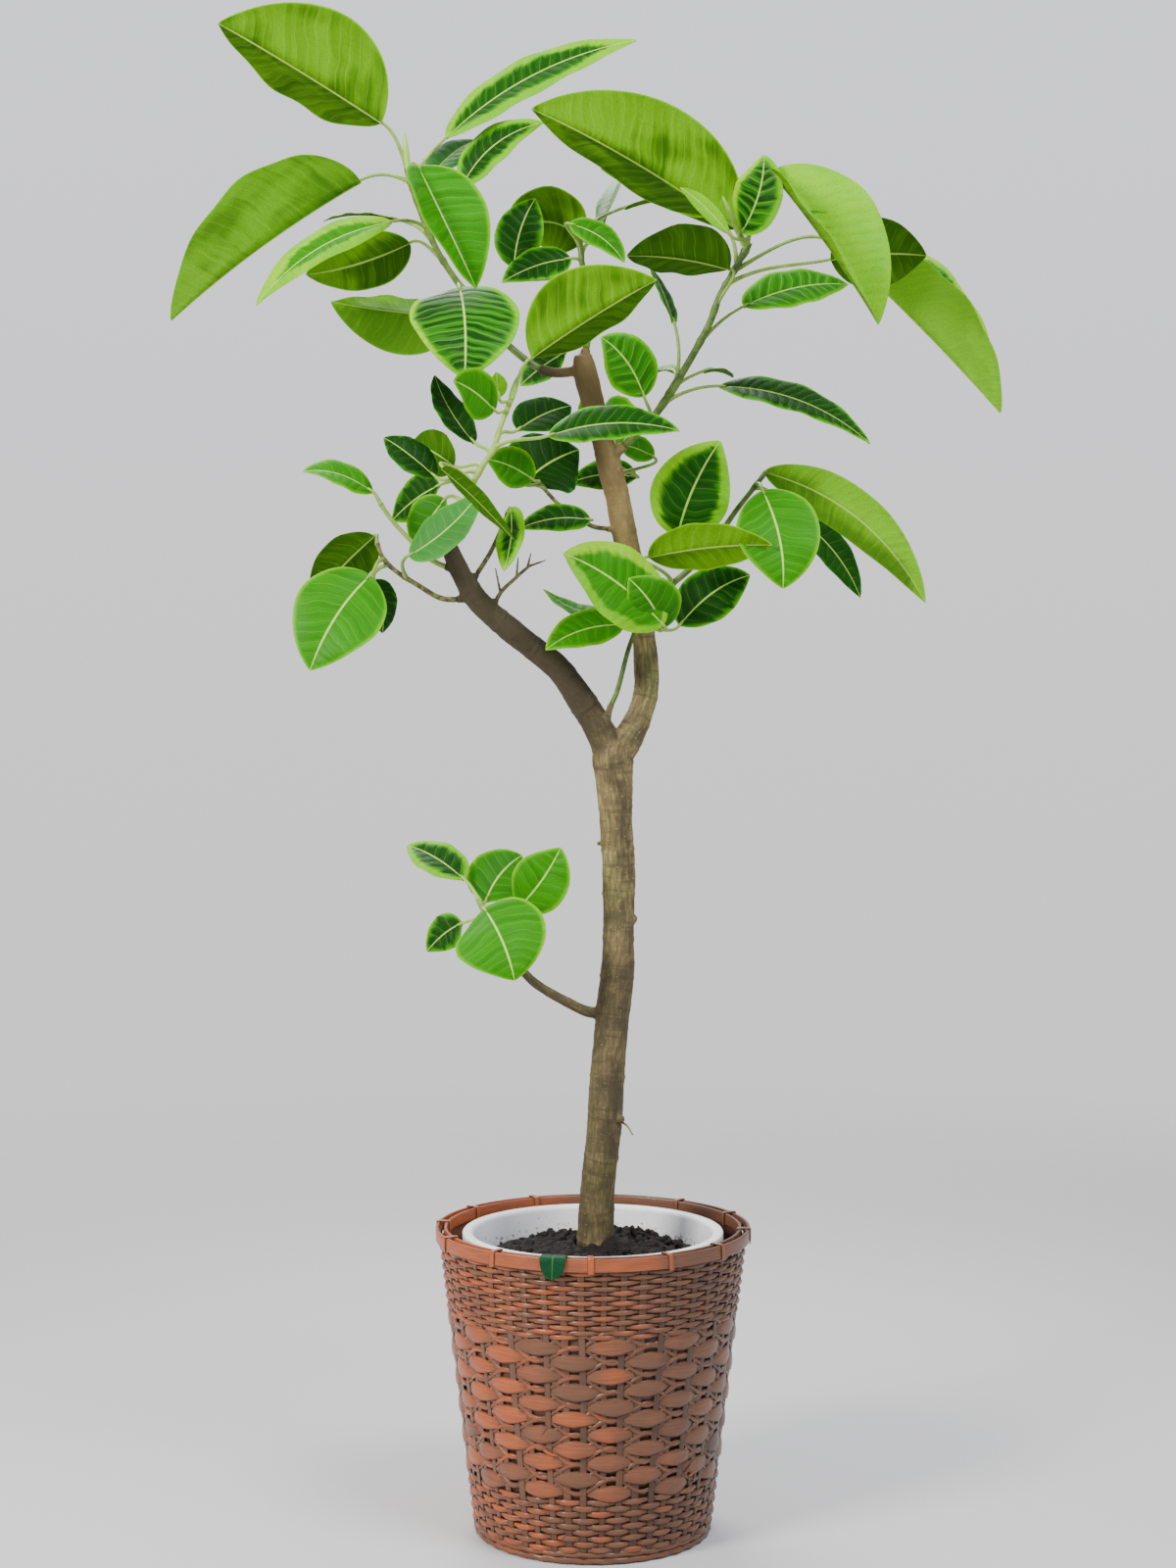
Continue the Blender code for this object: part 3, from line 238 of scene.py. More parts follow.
# Each shoot: its axis, its radius at root and tip, the length of its woody spur, and its leaves
# as (share of the shoot's length, base, tip, width, roll, bend, look, folds), where the folds are
# the degrees that the left and the right half are folded up, and may be left out.
SHOOTS = {
    "crown_left_shoot": {
        "axis": [(-8, 1188, -14), (-48, 1187, -30), (-88, 1215, -25), (-117, 1250, -10),
                 (-136, 1275, 0), (-154, 1302, 8), (-168, 1331, 12), (-183, 1372, 14),
                 (-188, 1394, 14)],
        "radii": (4.0, 2.6),
        "spur": 50,
        "leaves": [
            (0.99, (-213, 1436, 24), (-377, 1535, 60), 140, 155, (0, 2, 0), "olive", (44, 20)),
            (0.94, (-235, 1378, 24), (-427, 1238, 60), 152, 82, (-4, 5, 0), "veiled", (50, 42)),
            (0.78, (-203, 1337, 36), (-341, 1253, 76), 52, 44, (-7, 14, 0), "sunny"),
            (0.66, (-185, 1316, -8), (-290, 1284, -40), 63, 150, (0, -5, 0), "shady"),
            (0.74, (-200, 1340, -30), (-272, 1338, -80), 44, 78, (0, 6, 0), "green"),
            (0.97, (-176, 1392, 44), (-118, 1270, 76), 90, 8, (0, 0, 14), "bright", (0, 56)),
            (0.95, (-165, 1381, -16), (-117, 1418, -70), 42, 35, (0, 6, 0), "grey"),
            (0.92, (-148, 1421, -4), (44, 1518, -30), 62, 42, (-8, 14, 0), "edged"),
            (0.88, (-133, 1371, 2), (-50, 1436, 14), 54, 40, (-8, 10, 0), "half"),
            (0.42, (-136, 1240, -36), (-265, 1256, -14), 84, 178, (0, -2, 0), "veiled", (0, 60)),
            (0.55, (-135, 1271, 34), (-130, 1178, 112), 108, 8, (4, 6, 20), "striped"),
        ],
    },
    "crown_centre_shoot": {
        "axis": [(-10, 1196, -13), (-5, 1223, -16), (-6, 1263, -24), (-12, 1304, -32),
                 (-14, 1320, -35)],
        "radii": (3.8, 2.4),
        "spur": 14,
        "leaves": [
            (0.62, (-80, 1291, -14), (-58, 1360, -30), 50, 10, (-4, 2, 8), "dark"),
            (0.98, (-8, 1318, -50), (-88, 1318, -84), 76, 145, (0, 20, 0), "olive"),
            (0.93, (-24, 1335, -8), (32, 1296, 6), 40, 42, (4, 6, 0), "green"),
            (0.72, (-22, 1300, 4), (-92, 1276, 26), 50, 40, (0, 5, 0), "dark"),
            (0.97, (32, 1351, -84), (88, 1359, -128), 46, 84, (0, 3, 0), "dark"),
            (0.86, (8, 1330, -90), (40, 1380, -200), 72, 75, (0, 18, 0), "bright"),
            (0.30, (-28, 1206, -58), (-74, 1172, -74), 38, 30, (0, 3, 0), "dark"),
        ],
    },
    "crown_right_shoot": {
        "axis": [(15, 1097, -26), (42, 1122, -22), (66, 1147, -14), (94, 1191, -2),
                 (117, 1233, 8), (127, 1260, 14), (137, 1278, 18), (149, 1299, 22),
                 (158, 1316, 25)],
        "radii": (4.4, 3.0),
        "spur": 22,
        "leaves": [
            (0.95, (146, 1330, -6), (-62, 1450, 36), 134, 152, (-2, 8, 0), "shady", (46, 18)),
            (0.97, (150, 1326, 44), (172, 1404, 70), 54, 25, (6, 0, 10), "striped"),
            (0.90, (118, 1345, -22), (8, 1390, -70), 46, 130, (0, 6, 0), "lime"),
            (0.99, (137, 1325, 62), (88, 1371, 74), 17, 10, (0, 4, 0), "lime"),
            (0.72, (138, 1290, 30), (34, 1303, 66), 80, 140, (0, 4, 0), "dim", (32, 0)),
            (0.40, (82, 1236, -22), (58, 1292, -56), 34, 66, (2, 0, 0), "dark"),
            (0.22, (52, 1161, 16), (8, 1221, 36), 58, 20, (4, 6, 0), "veined"),
            (0.35, (82, 1187, -34), (60, 1183, -84), 24, 60, (0, 4, 0), "green"),
            (0.31, (128, 1172, 2), (281, 1114, 44), 58, 55, (6, 14, 0), "dark"),
            (0.38, (112, 1187, -26), (142, 1181, -84), 28, 80, (0, 4, 0), "dark"),
            (0.58, (152, 1252, -10), (258, 1274, -44), 62, 45, (0, 8, 0), "veined"),
            (0.96, (180, 1388, 66), (289, 1234, 104), 124, 25, (2, 2, 6), "lime", (15, 58)),
            (0.82, (240, 1299, 14), (337, 1303, 26), 80, 148, (0, 4, 0), "dim"),
            (0.88, (254, 1308, -34), (413, 1145, -70), 140, 76, (2, 2, 0), "split", (50, 50)),
        ],
    },
    "mid_left_shoot": {
        "axis": [(-145, 1008, 78), (-140, 1032, 82), (-128, 1060, 86), (-114, 1088, 87),
                 (-101, 1108, 84), (-94, 1130, 80), (-85, 1153, 76), (-81, 1163, 74)],
        "radii": (3.4, 2.2),
        "spur": 12,
        "leaves": [
            (0.99, (-62, 1201, 92), (64, 1279, 128), 104, 150, (-1, 2, 0), "olive", (25, 41)),
            (0.66, (-45, 1122, 92), (88, 1127, 112), 62, 52, (0, 10, 0), "dark"),
            (0.62, (-120, 1115, 84), (-160, 1183, 70), 48, 55, (-5, 0, 0), "deep"),
            (0.88, (-99, 1147, 108), (-141, 1177, 168), 48, 20, (0, 4, 0), "bright"),
            (0.93, (-95, 1160, 104), (-98, 1186, 120), 20, 20, (0, 0, 0), "lime"),
            (0.74, (-76, 1128, 48), (-22, 1152, 4), 52, 35, (0, 4, 0), "deep"),
            (0.48, (-159, 1080, 96), (-212, 1120, 92), 46, 45, (-2, 4, 0), "deep"),
            (0.52, (-140, 1092, 60), (-182, 1116, 10), 46, 150, (0, 2, 0), "dim"),
            (0.40, (-152, 1090, 128), (-80, 1018, 154), 34, 118, (0, 3, 0), "dim"),
            (0.28, (-150, 1058, 72), (-180, 1006, 52), 52, 30, (-4, 0, 0), "green"),
            (0.34, (-156, 1072, 36), (-204, 1036, -8), 48, 30, (0, 4, 0), "dark"),
        ],
    },
    "upper_left_twig": {
        "axis": [(-136, 984, 72), (-165, 997, 77), (-187, 1018, 81), (-205, 1038, 86),
                 (-216, 1054, 89)],
        "radii": (2.8, 2.0),
        "spur": 15,
        "leaves": [
            (0.98, (-223, 1065, 90), (-294, 1086, 118), 44, 55, (0, 8, 0), "bright"),
        ],
    },
    "lower_left_twig": {
        "axis": [(-120, 958, 60), (-152, 957, 66), (-178, 971, 72), (-200, 985, 76),
                 (-213, 998, 78), (-219, 1013, 79)],
        "radii": (3.0, 2.0),
        "spur": 18,
        "leaves": [
            (0.99, (-222, 1021, 62), (-285, 954, 24), 56, 150, (-2, 2, 0), "dim"),
            (0.86, (-226, 981, 100), (-288, 884, 138), 90, 14, (-4, 5, 10), "bright"),
            (0.80, (-222, 976, 64), (-214, 922, 36), 38, 40, (4, 0, 0), "deep"),
            (0.62, (-187, 1001, 98), (-115, 1064, 104), 50, 35, (4, -4, 8), "pale"),
        ],
    },
    "limb_twig": {
        "axis": [(-126, 970, 64), (-114, 988, 66), (-103, 1006, 66), (-92, 1030, 62),
                 (-86, 1046, 58)],
        "radii": (2.6, 1.9),
        "spur": 15,
        "leaves": [
            (0.98, (-84, 1049, 60), (-91, 985, 96), 38, 42, (4, 0, 6), "half"),
        ],
    },
    "bare_twig": {
        "axis": [(-104, 944, 52), (-94, 963, 60), (-82, 975, 66), (-64, 991, 72)],
        "radii": (2.4, 1.5),
        "spur": 15,
        "leaves": [],
        "prongs": [(0.35, (-99, 988, 74)), (0.72, (-76, 999, 80)), (0.95, (-63, 1003, 78)),
                   (0.98, (-48, 996, 76))],
    },
    "fork_shoot": {
        "axis": [(14, 818, 8), (16, 842, 16), (25, 864, 20), (35, 902, 18), (42, 922, 16),
                 (49, 936, 14)],
        "radii": (2.8, 2.2),
        "spur": 34,
        "leaves": [
            (0.93, (32, 931, 30), (-48, 905, 54), 46, 35, (-4, 7, 0), "bright"),
            (0.96, (30, 940, 14), (-50, 967, -14), 42, 70, (-4, -8, 0), "green"),
            (0.99, (72, 930, 46), (-30, 1003, 88), 84, 30, (2, 8, 0), "sunny"),
            (0.95, (70, 926, 30), (36, 978, 62), 62, 14, (6, 0, 8), "green"),
            (0.90, (88, 930, 8), (160, 981, -14), 58, 20, (-2, 8, 0), "dark"),
        ],
    },
    "right_shoot": {
        "axis": [(47, 958, -32), (66, 964, -16), (90, 980, -10), (118, 1008, -8),
                 (145, 1046, -6), (163, 1069, -4), (175, 1085, -2)],
        "radii": (3.8, 2.4),
        "spur": 20,
        "leaves": [
            (0.42, (86, 1020, 22), (129, 1117, 40), 80, 4, (-6, 0, 10), "edged"),
            (0.22, (56, 1000, 30), (182, 1012, 64), 60, 140, (0, 4, 0), "lime"),
            (0.92, (172, 1067, 18), (193, 967, 60), 84, 3, (6, 0, 14), "bright"),
            (0.99, (174, 1086, -10), (338, 953, -40), 55, 152, (14, 19, 0), "veiled"),
            (0.90, (206, 1040, -34), (272, 958, -56), 40, 30, (6, 6, 0), "dim"),
        ],
    },
    "stem_left_twig": {
        "axis": [(31, 1027, -31), (14, 1028, -22), (-4, 1032, -12), (-33, 1051, -6),
                 (-56, 1076, -2)],
        "radii": (2.6, 1.9),
        "spur": 19,
        "leaves": [
            (0.45, (-2, 1037, 2), (-75, 1028, 20), 42, 45, (0, 6, 0), "dark"),
            (0.99, (-60, 1077, 4), (-108, 1098, 30), 42, 10, (0, 4, 0), "bright"),
            (0.93, (-68, 1074, -18), (-14, 1108, -60), 84, 18, (-6, 2, 0), "deep"),
        ],
    },
    "stem_back_twig": {
        "axis": [(18, 1072, -30), (24, 1078, -52), (26, 1086, -72), (26, 1092, -84)],
        "radii": (2.6, 2.0),
        "spur": 20,
        "leaves": [
            (0.90, (44, 1080, -96), (-24, 1074, -104), 42, 35, (0, 6, 0), "dark"),
            (0.55, (62, 1100, -56), (22, 1112, -50), 34, 35, (0, 4, 0), "bright"),
            (0.98, (26, 1110, -120), (10, 1130, -230), 78, 70, (0, 22, 0), "bright"),
        ],
    },
    "low_shoot": {
        "axis": [(-70, 575, 27), (-82, 588, 29), (-97, 612, 28), (-112, 640, 24),
                 (-117, 651, 22)],
        "radii": (3.6, 2.4),
        "spur": 18,
        "leaves": [
            (0.98, (-131, 671, 12), (-190, 706, -20), 54, 52, (0, 5, 0), "half"),
            (0.93, (-110, 648, 10), (-72, 696, -34), 63, 15, (-4, 4, 0), "green"),
            (0.88, (-76, 642, 18), (-33, 704, 36), 60, 12, (4, 0, 6), "bright"),
            (0.80, (-111, 641, 40), (-80, 567, 98), 94, 6, (4, 4, 16), "bright"),
            (0.72, (-134, 626, 10), (-170, 597, -6), 38, 20, (0, 4, 0), "dark"),
        ],
    },
}
# How dark and olive each shoot's stem is, from pale yellow-green at 0.
STEM_TONES = {
    "crown_left_shoot": 0.75, "crown_centre_shoot": 0.6, "crown_right_shoot": 0.8,
    "mid_left_shoot": 0.2, "upper_left_twig": 0.3, "lower_left_twig": 1.0, "limb_twig": 1.0,
    "bare_twig": 0.6, "fork_shoot": 0.85, "right_shoot": 0.8, "stem_left_twig": 1.0,
    "stem_back_twig": 0.9, "low_shoot": 0.45,
}
# Shoots whose stems have turned to wood
WOODY_TWIGS = ("lower_left_twig", "limb_twig", "bare_twig", "stem_left_twig")
# The slots of a shoot's materials that follow those of the blade's two faces
STEM, TWIG, SHEATH = 2, 3, 4
# The pale sheath round the newest leaf of a growing tip: the shoot, and the sheath's own tip
SPEARS = {
    "crown_left_shoot": (-190, 1426, 18),
    "crown_right_shoot": (131, 1362, 48),
    "mid_left_shoot": (-76, 1182, 78),
}

# The dropped leaf on the rim: its direction from the axis in degrees, its width, and how far it
# hangs down outside and inside
CAUGHT_LEAF_ANGLE = -104.0
CAUGHT_LEAF_WIDTH = 26.0
CAUGHT_LEAF_OUTSIDE = 22.0
CAUGHT_LEAF_INSIDE = 20.0


def linear(code):
    """An sRGB hex colour as linear red, green and blue."""
    parts = [int(code[i:i + 2], 16) / 255 for i in (1, 3, 5)]
    return tuple(p / 12.92 if p <= 0.04045 else ((p + 0.055) / 1.055) ** 2.4 for p in parts)


def unit(vectors):
    """Each vector divided by its own length."""
    return vectors / np.maximum(np.linalg.norm(vectors, axis=-1, keepdims=True), 1e-9)


def seen(x, z, near):
    """The point drawn at (x, z), carried along its sight line until it is `near` mm nearer."""
    share = near / EYE_DISTANCE
    return np.array([x + (EYE_ASIDE - x) * share, -near, z + (EYE_HEIGHT - z) * share])


def smooth_line(points, count):
    """A curve through the points (Catmull-Rom), read at `count` even shares of its length."""
    points = np.asarray(points, float)
    ends = np.vstack([2 * points[0] - points[1], points, 2 * points[-1] - points[-2]])
    fine = []
    for a, b, c, d in zip(ends, ends[1:], ends[2:], ends[3:]):
        t = np.linspace(0, 1, 12, endpoint=False)[:, None]
        fine.append(0.5 * (2 * b + (c - a) * t + (2 * a - 5 * b + 4 * c - d) * t**2
                           + (3 * b - a - 3 * c + d) * t**3))
    fine = np.vstack([*fine, points[-1:]])
    walked = np.concatenate([[0], np.cumsum(np.linalg.norm(np.diff(fine[:, :3], axis=0), axis=1))])
    shares = np.linspace(0, walked[-1], count)
    return np.stack([np.interp(shares, walked, column) for column in fine.T], axis=1)


def length_of(line):
    """The sum of the lengths of a line's steps."""
    return float(np.linalg.norm(np.diff(line[:, :3], axis=0), axis=1).sum())


def point_at(line, share):
    """The point at a share of a line's length, and the line's direction there."""
    at = share * (len(line) - 1)
    low = min(int(at), len(line) - 2)
    step = line[low + 1, :3] - line[low, :3]
    return line[low, :3] + step * (at - low), unit(step)


def softened(share):
    """A share from 0 to 1 with eased ends: three times its square less twice its cube."""
    return share * share * (3 - 2 * share)


def circle(count):
    """So many angles at even steps round a full turn."""
    return np.arange(count) * 2 * math.pi / count


def columns(*parts):
    """Arrays and numbers spread over each other's shapes, and stacked as the parts of vectors."""
    return np.stack(np.broadcast_arrays(*parts), axis=-1)


def about_axis(radius, angle, height):
    """The points at a radius and an angle from the pot's axis, and at a height."""
    return columns(radius * np.cos(angle), radius * np.sin(angle), height)


def rolled(first, second, angle):
    """Two parts of a vector turned by an angle in their plane."""
    cosine, sine = np.cos(angle), np.sin(angle)
    return first * cosine - second * sine, first * sine + second * cosine


def turned(points, degrees):
    """Points turned about the pot's axis."""
    angle = math.radians(degrees)
    spin = np.array([[math.cos(angle), math.sin(angle), 0],
                     [-math.sin(angle), math.cos(angle), 0], [0, 0, 1]])
    return points @ spin


def lattice(points, size, seed):
    """Smooth noise from 0 to 1: a hashed value at each corner of a cubic lattice of that size,
    blended with an eased share between the corners."""
    spots = np.asarray(points, float) / size
    cell = np.floor(spots).astype(np.int64)
    part = softened(spots - cell)
    total = np.zeros(spots.shape[:-1])
    for corner in np.ndindex(2, 2, 2):
        spot = cell + np.array(corner)
        mixed = (spot @ np.array([73856093, 19349663, 83492791]) + seed * 2654435761) & 0x7FFFFFFF
        mixed = (mixed ^ (mixed >> 13)) * 1274126177 & 0x7FFFFFFF
        value = ((mixed ^ (mixed >> 16)) & 0xFFFF) / 65535
        total += value * np.prod(np.where(corner, part, 1 - part), axis=-1)
    return total


def add_layer(mesh, name, vectors):
    """Keeps a vector for each point of a mesh under the name of an attribute."""
    layer = mesh.attributes.new(name, "FLOAT_VECTOR", "POINT")
    layer.data.foreach_set("vector", vectors.astype(np.float32).ravel())


class Patchwork:
    """Gathers closed surfaces, each a grid of rings, into one mesh.

    A surface is an array (rings, around, 3) in millimetres. Every ring closes on itself, and the
    first and last ring are joined to each other or filled, so that nothing is left open. Values
    are kept for each point under the name of their attribute.
    """

    def __init__(self):
        """Starts with no points and no faces."""
        self.points = []
        self.faces = []
        self.materials = []
        self.values = []
        self.count = 0

    def add(self, grid, material=0, looped=False, **values):
        """material is a slot, or one slot for each place around the ring."""
        rings, around = grid.shape[:2]
        rows = np.arange(rings if looped else rings - 1)[:, None]
        turn = np.arange(around)[None]
        low = rows * around
        high = (rows + 1) % rings * around
        after = (turn + 1) % around
        quads = np.stack([low + turn, low + after, high + after, high + turn], axis=-1)
        self.faces.append(quads.reshape(-1, 4) + self.count)
        slots = np.broadcast_to(np.asarray(material), (len(rows), around))
        self.materials.append(slots.ravel())
        if not looped:
            for ring in (0, rings - 1):
                self.faces.append(self.count + ring * around + turn)
                self.materials.append(slots[0, :1])
        self.points.append(grid.reshape(-1, 3))
        self.values.append({
            name: np.broadcast_to(value, grid.shape).reshape(-1, 3)
            for name, value in values.items()
        })
        self.count += rings * around

    def mesh(self, name):
        """The mesh of everything gathered, its faces turned outwards."""
        mesh = bpy.data.meshes.new(name)
        totals = np.concatenate([np.full(len(f), f.shape[1]) for f in self.faces])
        corners = np.concatenate([f.ravel() for f in self.faces])
        mesh.vertices.add(self.count)
        mesh.vertices.foreach_set("co", (np.vstack(self.points) * MM).astype(np.float32).ravel())
        mesh.loops.add(len(corners))
        mesh.loops.foreach_set("vertex_index", corners.astype(np.int32))
        mesh.polygons.add(len(totals))
        starts = np.concatenate([[0], np.cumsum(totals)[:-1]])
        mesh.polygons.foreach_set("loop_start", starts.astype(np.int32))
        mesh.polygons.foreach_set("material_index",
                                  np.concatenate(self.materials).astype(np.int32))
        mesh.update(calc_edges=True)
        for key in sorted({key for values in self.values for key in values}):
            whole = np.concatenate([
                values.get(key, np.zeros((len(points), 3)))
                for values, points in zip(self.values, self.points)
            ])
            add_layer(mesh, key, whole)
        turn_outwards(mesh)
        mesh.shade_smooth()
        return mesh


def turn_outwards(mesh):
    """Turns the faces of closed surfaces outwards."""
    shape = bmesh.new()
    shape.from_mesh(mesh)
    bmesh.ops.recalc_face_normals(shape, faces=shape.faces)
    shape.to_mesh(mesh)
    shape.free()


def new_object(name, data):
    """A new object in the scene, unturned and at the origin."""
    made = bpy.data.objects.new(name, data)
    bpy.context.scene.collection.objects.link(made)
    return made


def show(name, mesh, materials, nodes):
    """Puts a finished mesh in the scene in place of its CAD nodes."""
    for material in materials:
        mesh.materials.append(material)
    piece = new_object(name, mesh)
    if nodes:
        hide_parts(*nodes)
    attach(piece, "root")


def tube(line, radii, sides):
    """Rings round a line: centre + radius times (cosine of the angle along one side vector and
    sine along the other), both square to the line and turned from one fixed axis."""
    steps = unit(np.gradient(line, axis=0))
    axes = np.eye(3)
    axis = axes[np.argmin(np.abs(steps @ axes).max(axis=0))]
    side = unit(np.cross(steps, axis))
    other = np.cross(steps, side)
    angle = circle(sides)[:, None]
    radii = np.broadcast_to(radii, len(line))
    return line[:, None] + radii[:, None, None] * (
        np.cos(angle) * side[:, None] + np.sin(angle) * other[:, None])


# The nodes that the materials are made of: the type, its settings, the inputs in the order in
# which add_node takes them, and the output that it gives, or None for all. Any other name is
# an operation of the Math node.
NODES = {
    "attribute": ("Attribute", {}, (), "Vector"),
    "bump": ("Bump", {}, ("Height", "Distance", "Strength", "Normal"), 0),
    "camera ray": ("LightPath", {}, (), "Is Camera Ray"),
    "cells": ("TexVoronoi", {"voronoi_dimensions": "2D"}, ("Vector", "Scale", "Randomness"), None),
    "channels": ("SeparateColor", {}, (0,), None),
    "dot": ("VectorMath", {"operation": "DOT_PRODUCT"}, (0, 1), "Value"),
    "ease": ("MapRange", {"interpolation_type": "SMOOTHSTEP"}, (0, 1, 2, 3, 4), 0),
    "join": ("CombineXYZ", {}, (0, 1, 2), 0),
    "length": ("VectorMath", {"operation": "LENGTH"}, (0,), "Value"),
    "mix": ("Mix", {"data_type": "RGBA"}, (0, 6, 7), 2),
    "noise": ("TexNoise", {}, ("Vector", "Scale", "Detail", "Roughness"), 0),
    "place": ("TexCoord", {}, (), "Object"),
    "range": ("MapRange", {}, (0, 1, 2, 3, 4), 0),
    "scale": ("Mapping", {}, ("Vector", "Scale"), 0),
    "split": ("SeparateXYZ", {}, (0,), None),
}


def add_node(tree, kind, *values, out=None, to=None, **settings):
    """Adds a node, makes its settings, sets or links its inputs in order, and gives its output,
    which it also links to the socket `to`. A colour is given as linear red, green and blue."""
    made_as, fixed, inputs, usual = NODES.get(kind, ("Math", {"operation": kind}, (0, 1, 2), 0))
    node = tree.nodes.new("ShaderNode" + made_as)
    for key, value in {**fixed, **settings}.items():
        setattr(node, key, value)
    for key, value in zip(inputs, values):
        socket = node.inputs[key]
        if isinstance(value, bpy.types.NodeSocket):
            tree.links.new(value, socket)
        else:
            socket.default_value = (*value, 1) if socket.type == "RGBA" else value
    out = usual if out is None else out
    if out is None:
        return node.outputs
    if to is not None:
        tree.links.new(node.outputs[out], to)
    return node.outputs[out]


def new_material(name, **constants):
    """A material, its Principled shader's inputs, of which some are set here, and add_node for
    its tree."""
    material = bpy.data.materials.new(name)
    material.use_nodes = True
    inputs = material.node_tree.nodes["Principled BSDF"].inputs
    for key, value in constants.items():
        inputs[key.replace("_", " ")].default_value = value
    return material, inputs, partial(add_node, material.node_tree)


def mottled(node, place, size, detail=3.0, roughness=0.55, stretch=(1, 1, 1)):
    """Mottling over a place: its features are about `size` across, in the place's own unit, and
    longer along an axis the smaller that axis's share in `stretch`."""
    spot = node("scale", place, tuple(share / size for share in stretch))
    return node("noise", spot, 1.0, detail, roughness)


class LeafLook(PropertyGroup):
    """The blade's colours and the spacing of its side veins."""

    lime: FloatVectorProperty(name="Lime margin", description="Colour of the blade's margin",
                              subtype="COLOR", default=linear("#72bc00"))
    yellow: FloatVectorProperty(name="Yellow patch", description="Colour of the palest patches",
                                subtype="COLOR", default=linear("#a6dc00"))
    middle: FloatVectorProperty(name="Green zone", description="Colour between margin and centre",
                                subtype="COLOR", default=linear("#38920a"))
    dark: FloatVectorProperty(name="Dark centre", description="Colour beside the midrib",
                              subtype="COLOR", default=linear("#0f3a0b"))
    olive: FloatVectorProperty(name="Underside", description="Colour of the blade's underside",
                               subtype="COLOR", default=linear("#5f9406"))
    deep: FloatVectorProperty(name="Dark underside", description="Underside of a dark blade",
                              subtype="COLOR", default=linear("#35600a"))
    pale: FloatVectorProperty(name="Pale sheen", description="Colour of the bluish blades",
                              subtype="COLOR", default=linear("#4f9c58"))
    sunlit: FloatVectorProperty(name="Sunlit underside", description="Palest underside patches",
                                subtype="COLOR", default=linear("#8ed800"))
    fallen: FloatVectorProperty(name="Fallen leaf", description="Upper face of a dropped leaf",
                                subtype="COLOR", default=linear("#063f26"))
    rib: FloatVectorProperty(name="Midrib", description="Colour of midrib and side veins",
                             subtype="COLOR", default=linear("#c4ec70"))
    vein_spacing: FloatProperty(name="Vein spacing", description="Between side veins, in mm",
                                default=12.0, min=2.0)
    rows: IntProperty(name="Rows", description="Rows of mesh along the longest blade",
                      default=44, min=8)


class WoodLook(PropertyGroup):
    """The colours of the bark and of the green stems."""

    lit: FloatVectorProperty(name="Tan bark", description="Colour of the bark's high places",
                             subtype="COLOR", default=linear("#9f8c5a"))
    deep: FloatVectorProperty(name="Dark bark", description="Colour of the bark's low places",
                              subtype="COLOR", default=linear("#554a30"))
    green: FloatVectorProperty(name="Green bark", description="Colour of the young bark",
                               subtype="COLOR", default=linear("#7c8440"))
    twig: FloatVectorProperty(name="Twig", description="Colour of woody spurs and bare twigs",
                              subtype="COLOR", default=linear("#453a26"))
    stem: FloatVectorProperty(name="Green stem", description="Colour of pale stems and stalks",
                              subtype="COLOR", default=linear("#a4c653"))
    ripe: FloatVectorProperty(name="Older stem", description="Colour of older green stems",
                              subtype="COLOR", default=linear("#34511a"))


class BasketLook(PropertyGroup):
    """The weave's sizes and colours."""

    orange: FloatVectorProperty(name="Bright splint", description="Colour of the lightest splints",
                                subtype="COLOR", default=linear("#b25a2e"))
    brown: FloatVectorProperty(name="Brown splint", description="Colour of most splints",
                               subtype="COLOR", default=linear("#704a34"))
    shade: FloatVectorProperty(name="Dark splint", description="Colour of stakes and shaded edges",
                               subtype="COLOR", default=linear("#38281f"))
    broad_rows: IntProperty(name="Broad rows", description="Rows of broad splints", default=11)
    broad_row: FloatProperty(name="Broad row", description="Height of a broad row, in mm",
                             default=14.9)
    lower_rows: IntProperty(name="Lower rows", description="Fine rows at the foot", default=9)
    lower_zone: FloatProperty(name="Lower zone", description="Height of the lower fine rows, in mm",
                              default=56.0)
    upper_rows: IntProperty(name="Upper rows", description="Fine rows under the rim", default=14)


class PotLook(PropertyGroup):
    """The colours of the white pot and of what fills it."""

    white: FloatVectorProperty(name="Pot", description="Colour of the pot's plastic",
                               subtype="COLOR", default=linear("#f8f9fb"))
    soil: FloatVectorProperty(name="Soil", description="Colour of the damp soil",
                              subtype="COLOR", default=linear("#120f0d"))
    chip: FloatVectorProperty(name="Bark chips", description="Colour of the drier bark chips",
                              subtype="COLOR", default=linear("#281e18"))
    chips: IntProperty(name="Chips", description="How many chips lie on the soil", default=620)


class StageLook(PropertyGroup):
    """The plain studio round the object."""

    floor: FloatVectorProperty(name="Floor", description="Colour of the floor",
                               subtype="COLOR", default=linear("#cfcfd0"))
    sky: FloatVectorProperty(name="Upper backdrop", description="Colour above the horizon",
                             subtype="COLOR", default=linear("#d3d3dc"))
    ground: FloatVectorProperty(name="Lower backdrop", description="Colour below the horizon",
                                subtype="COLOR", default=linear("#c9c9c9"))
    key: FloatProperty(name="Key light", description="Power in watts", default=170.0)
    back: FloatProperty(name="Back light", description="Power in watts", default=90.0)
    side: FloatProperty(name="Side light", description="Power in watts", default=105.0)
    glow: FloatProperty(name="Backdrop", description="Backdrop's strength in view", default=1.75)
    fill: FloatProperty(name="Fill", description="Backdrop's strength as a light", default=0.85)


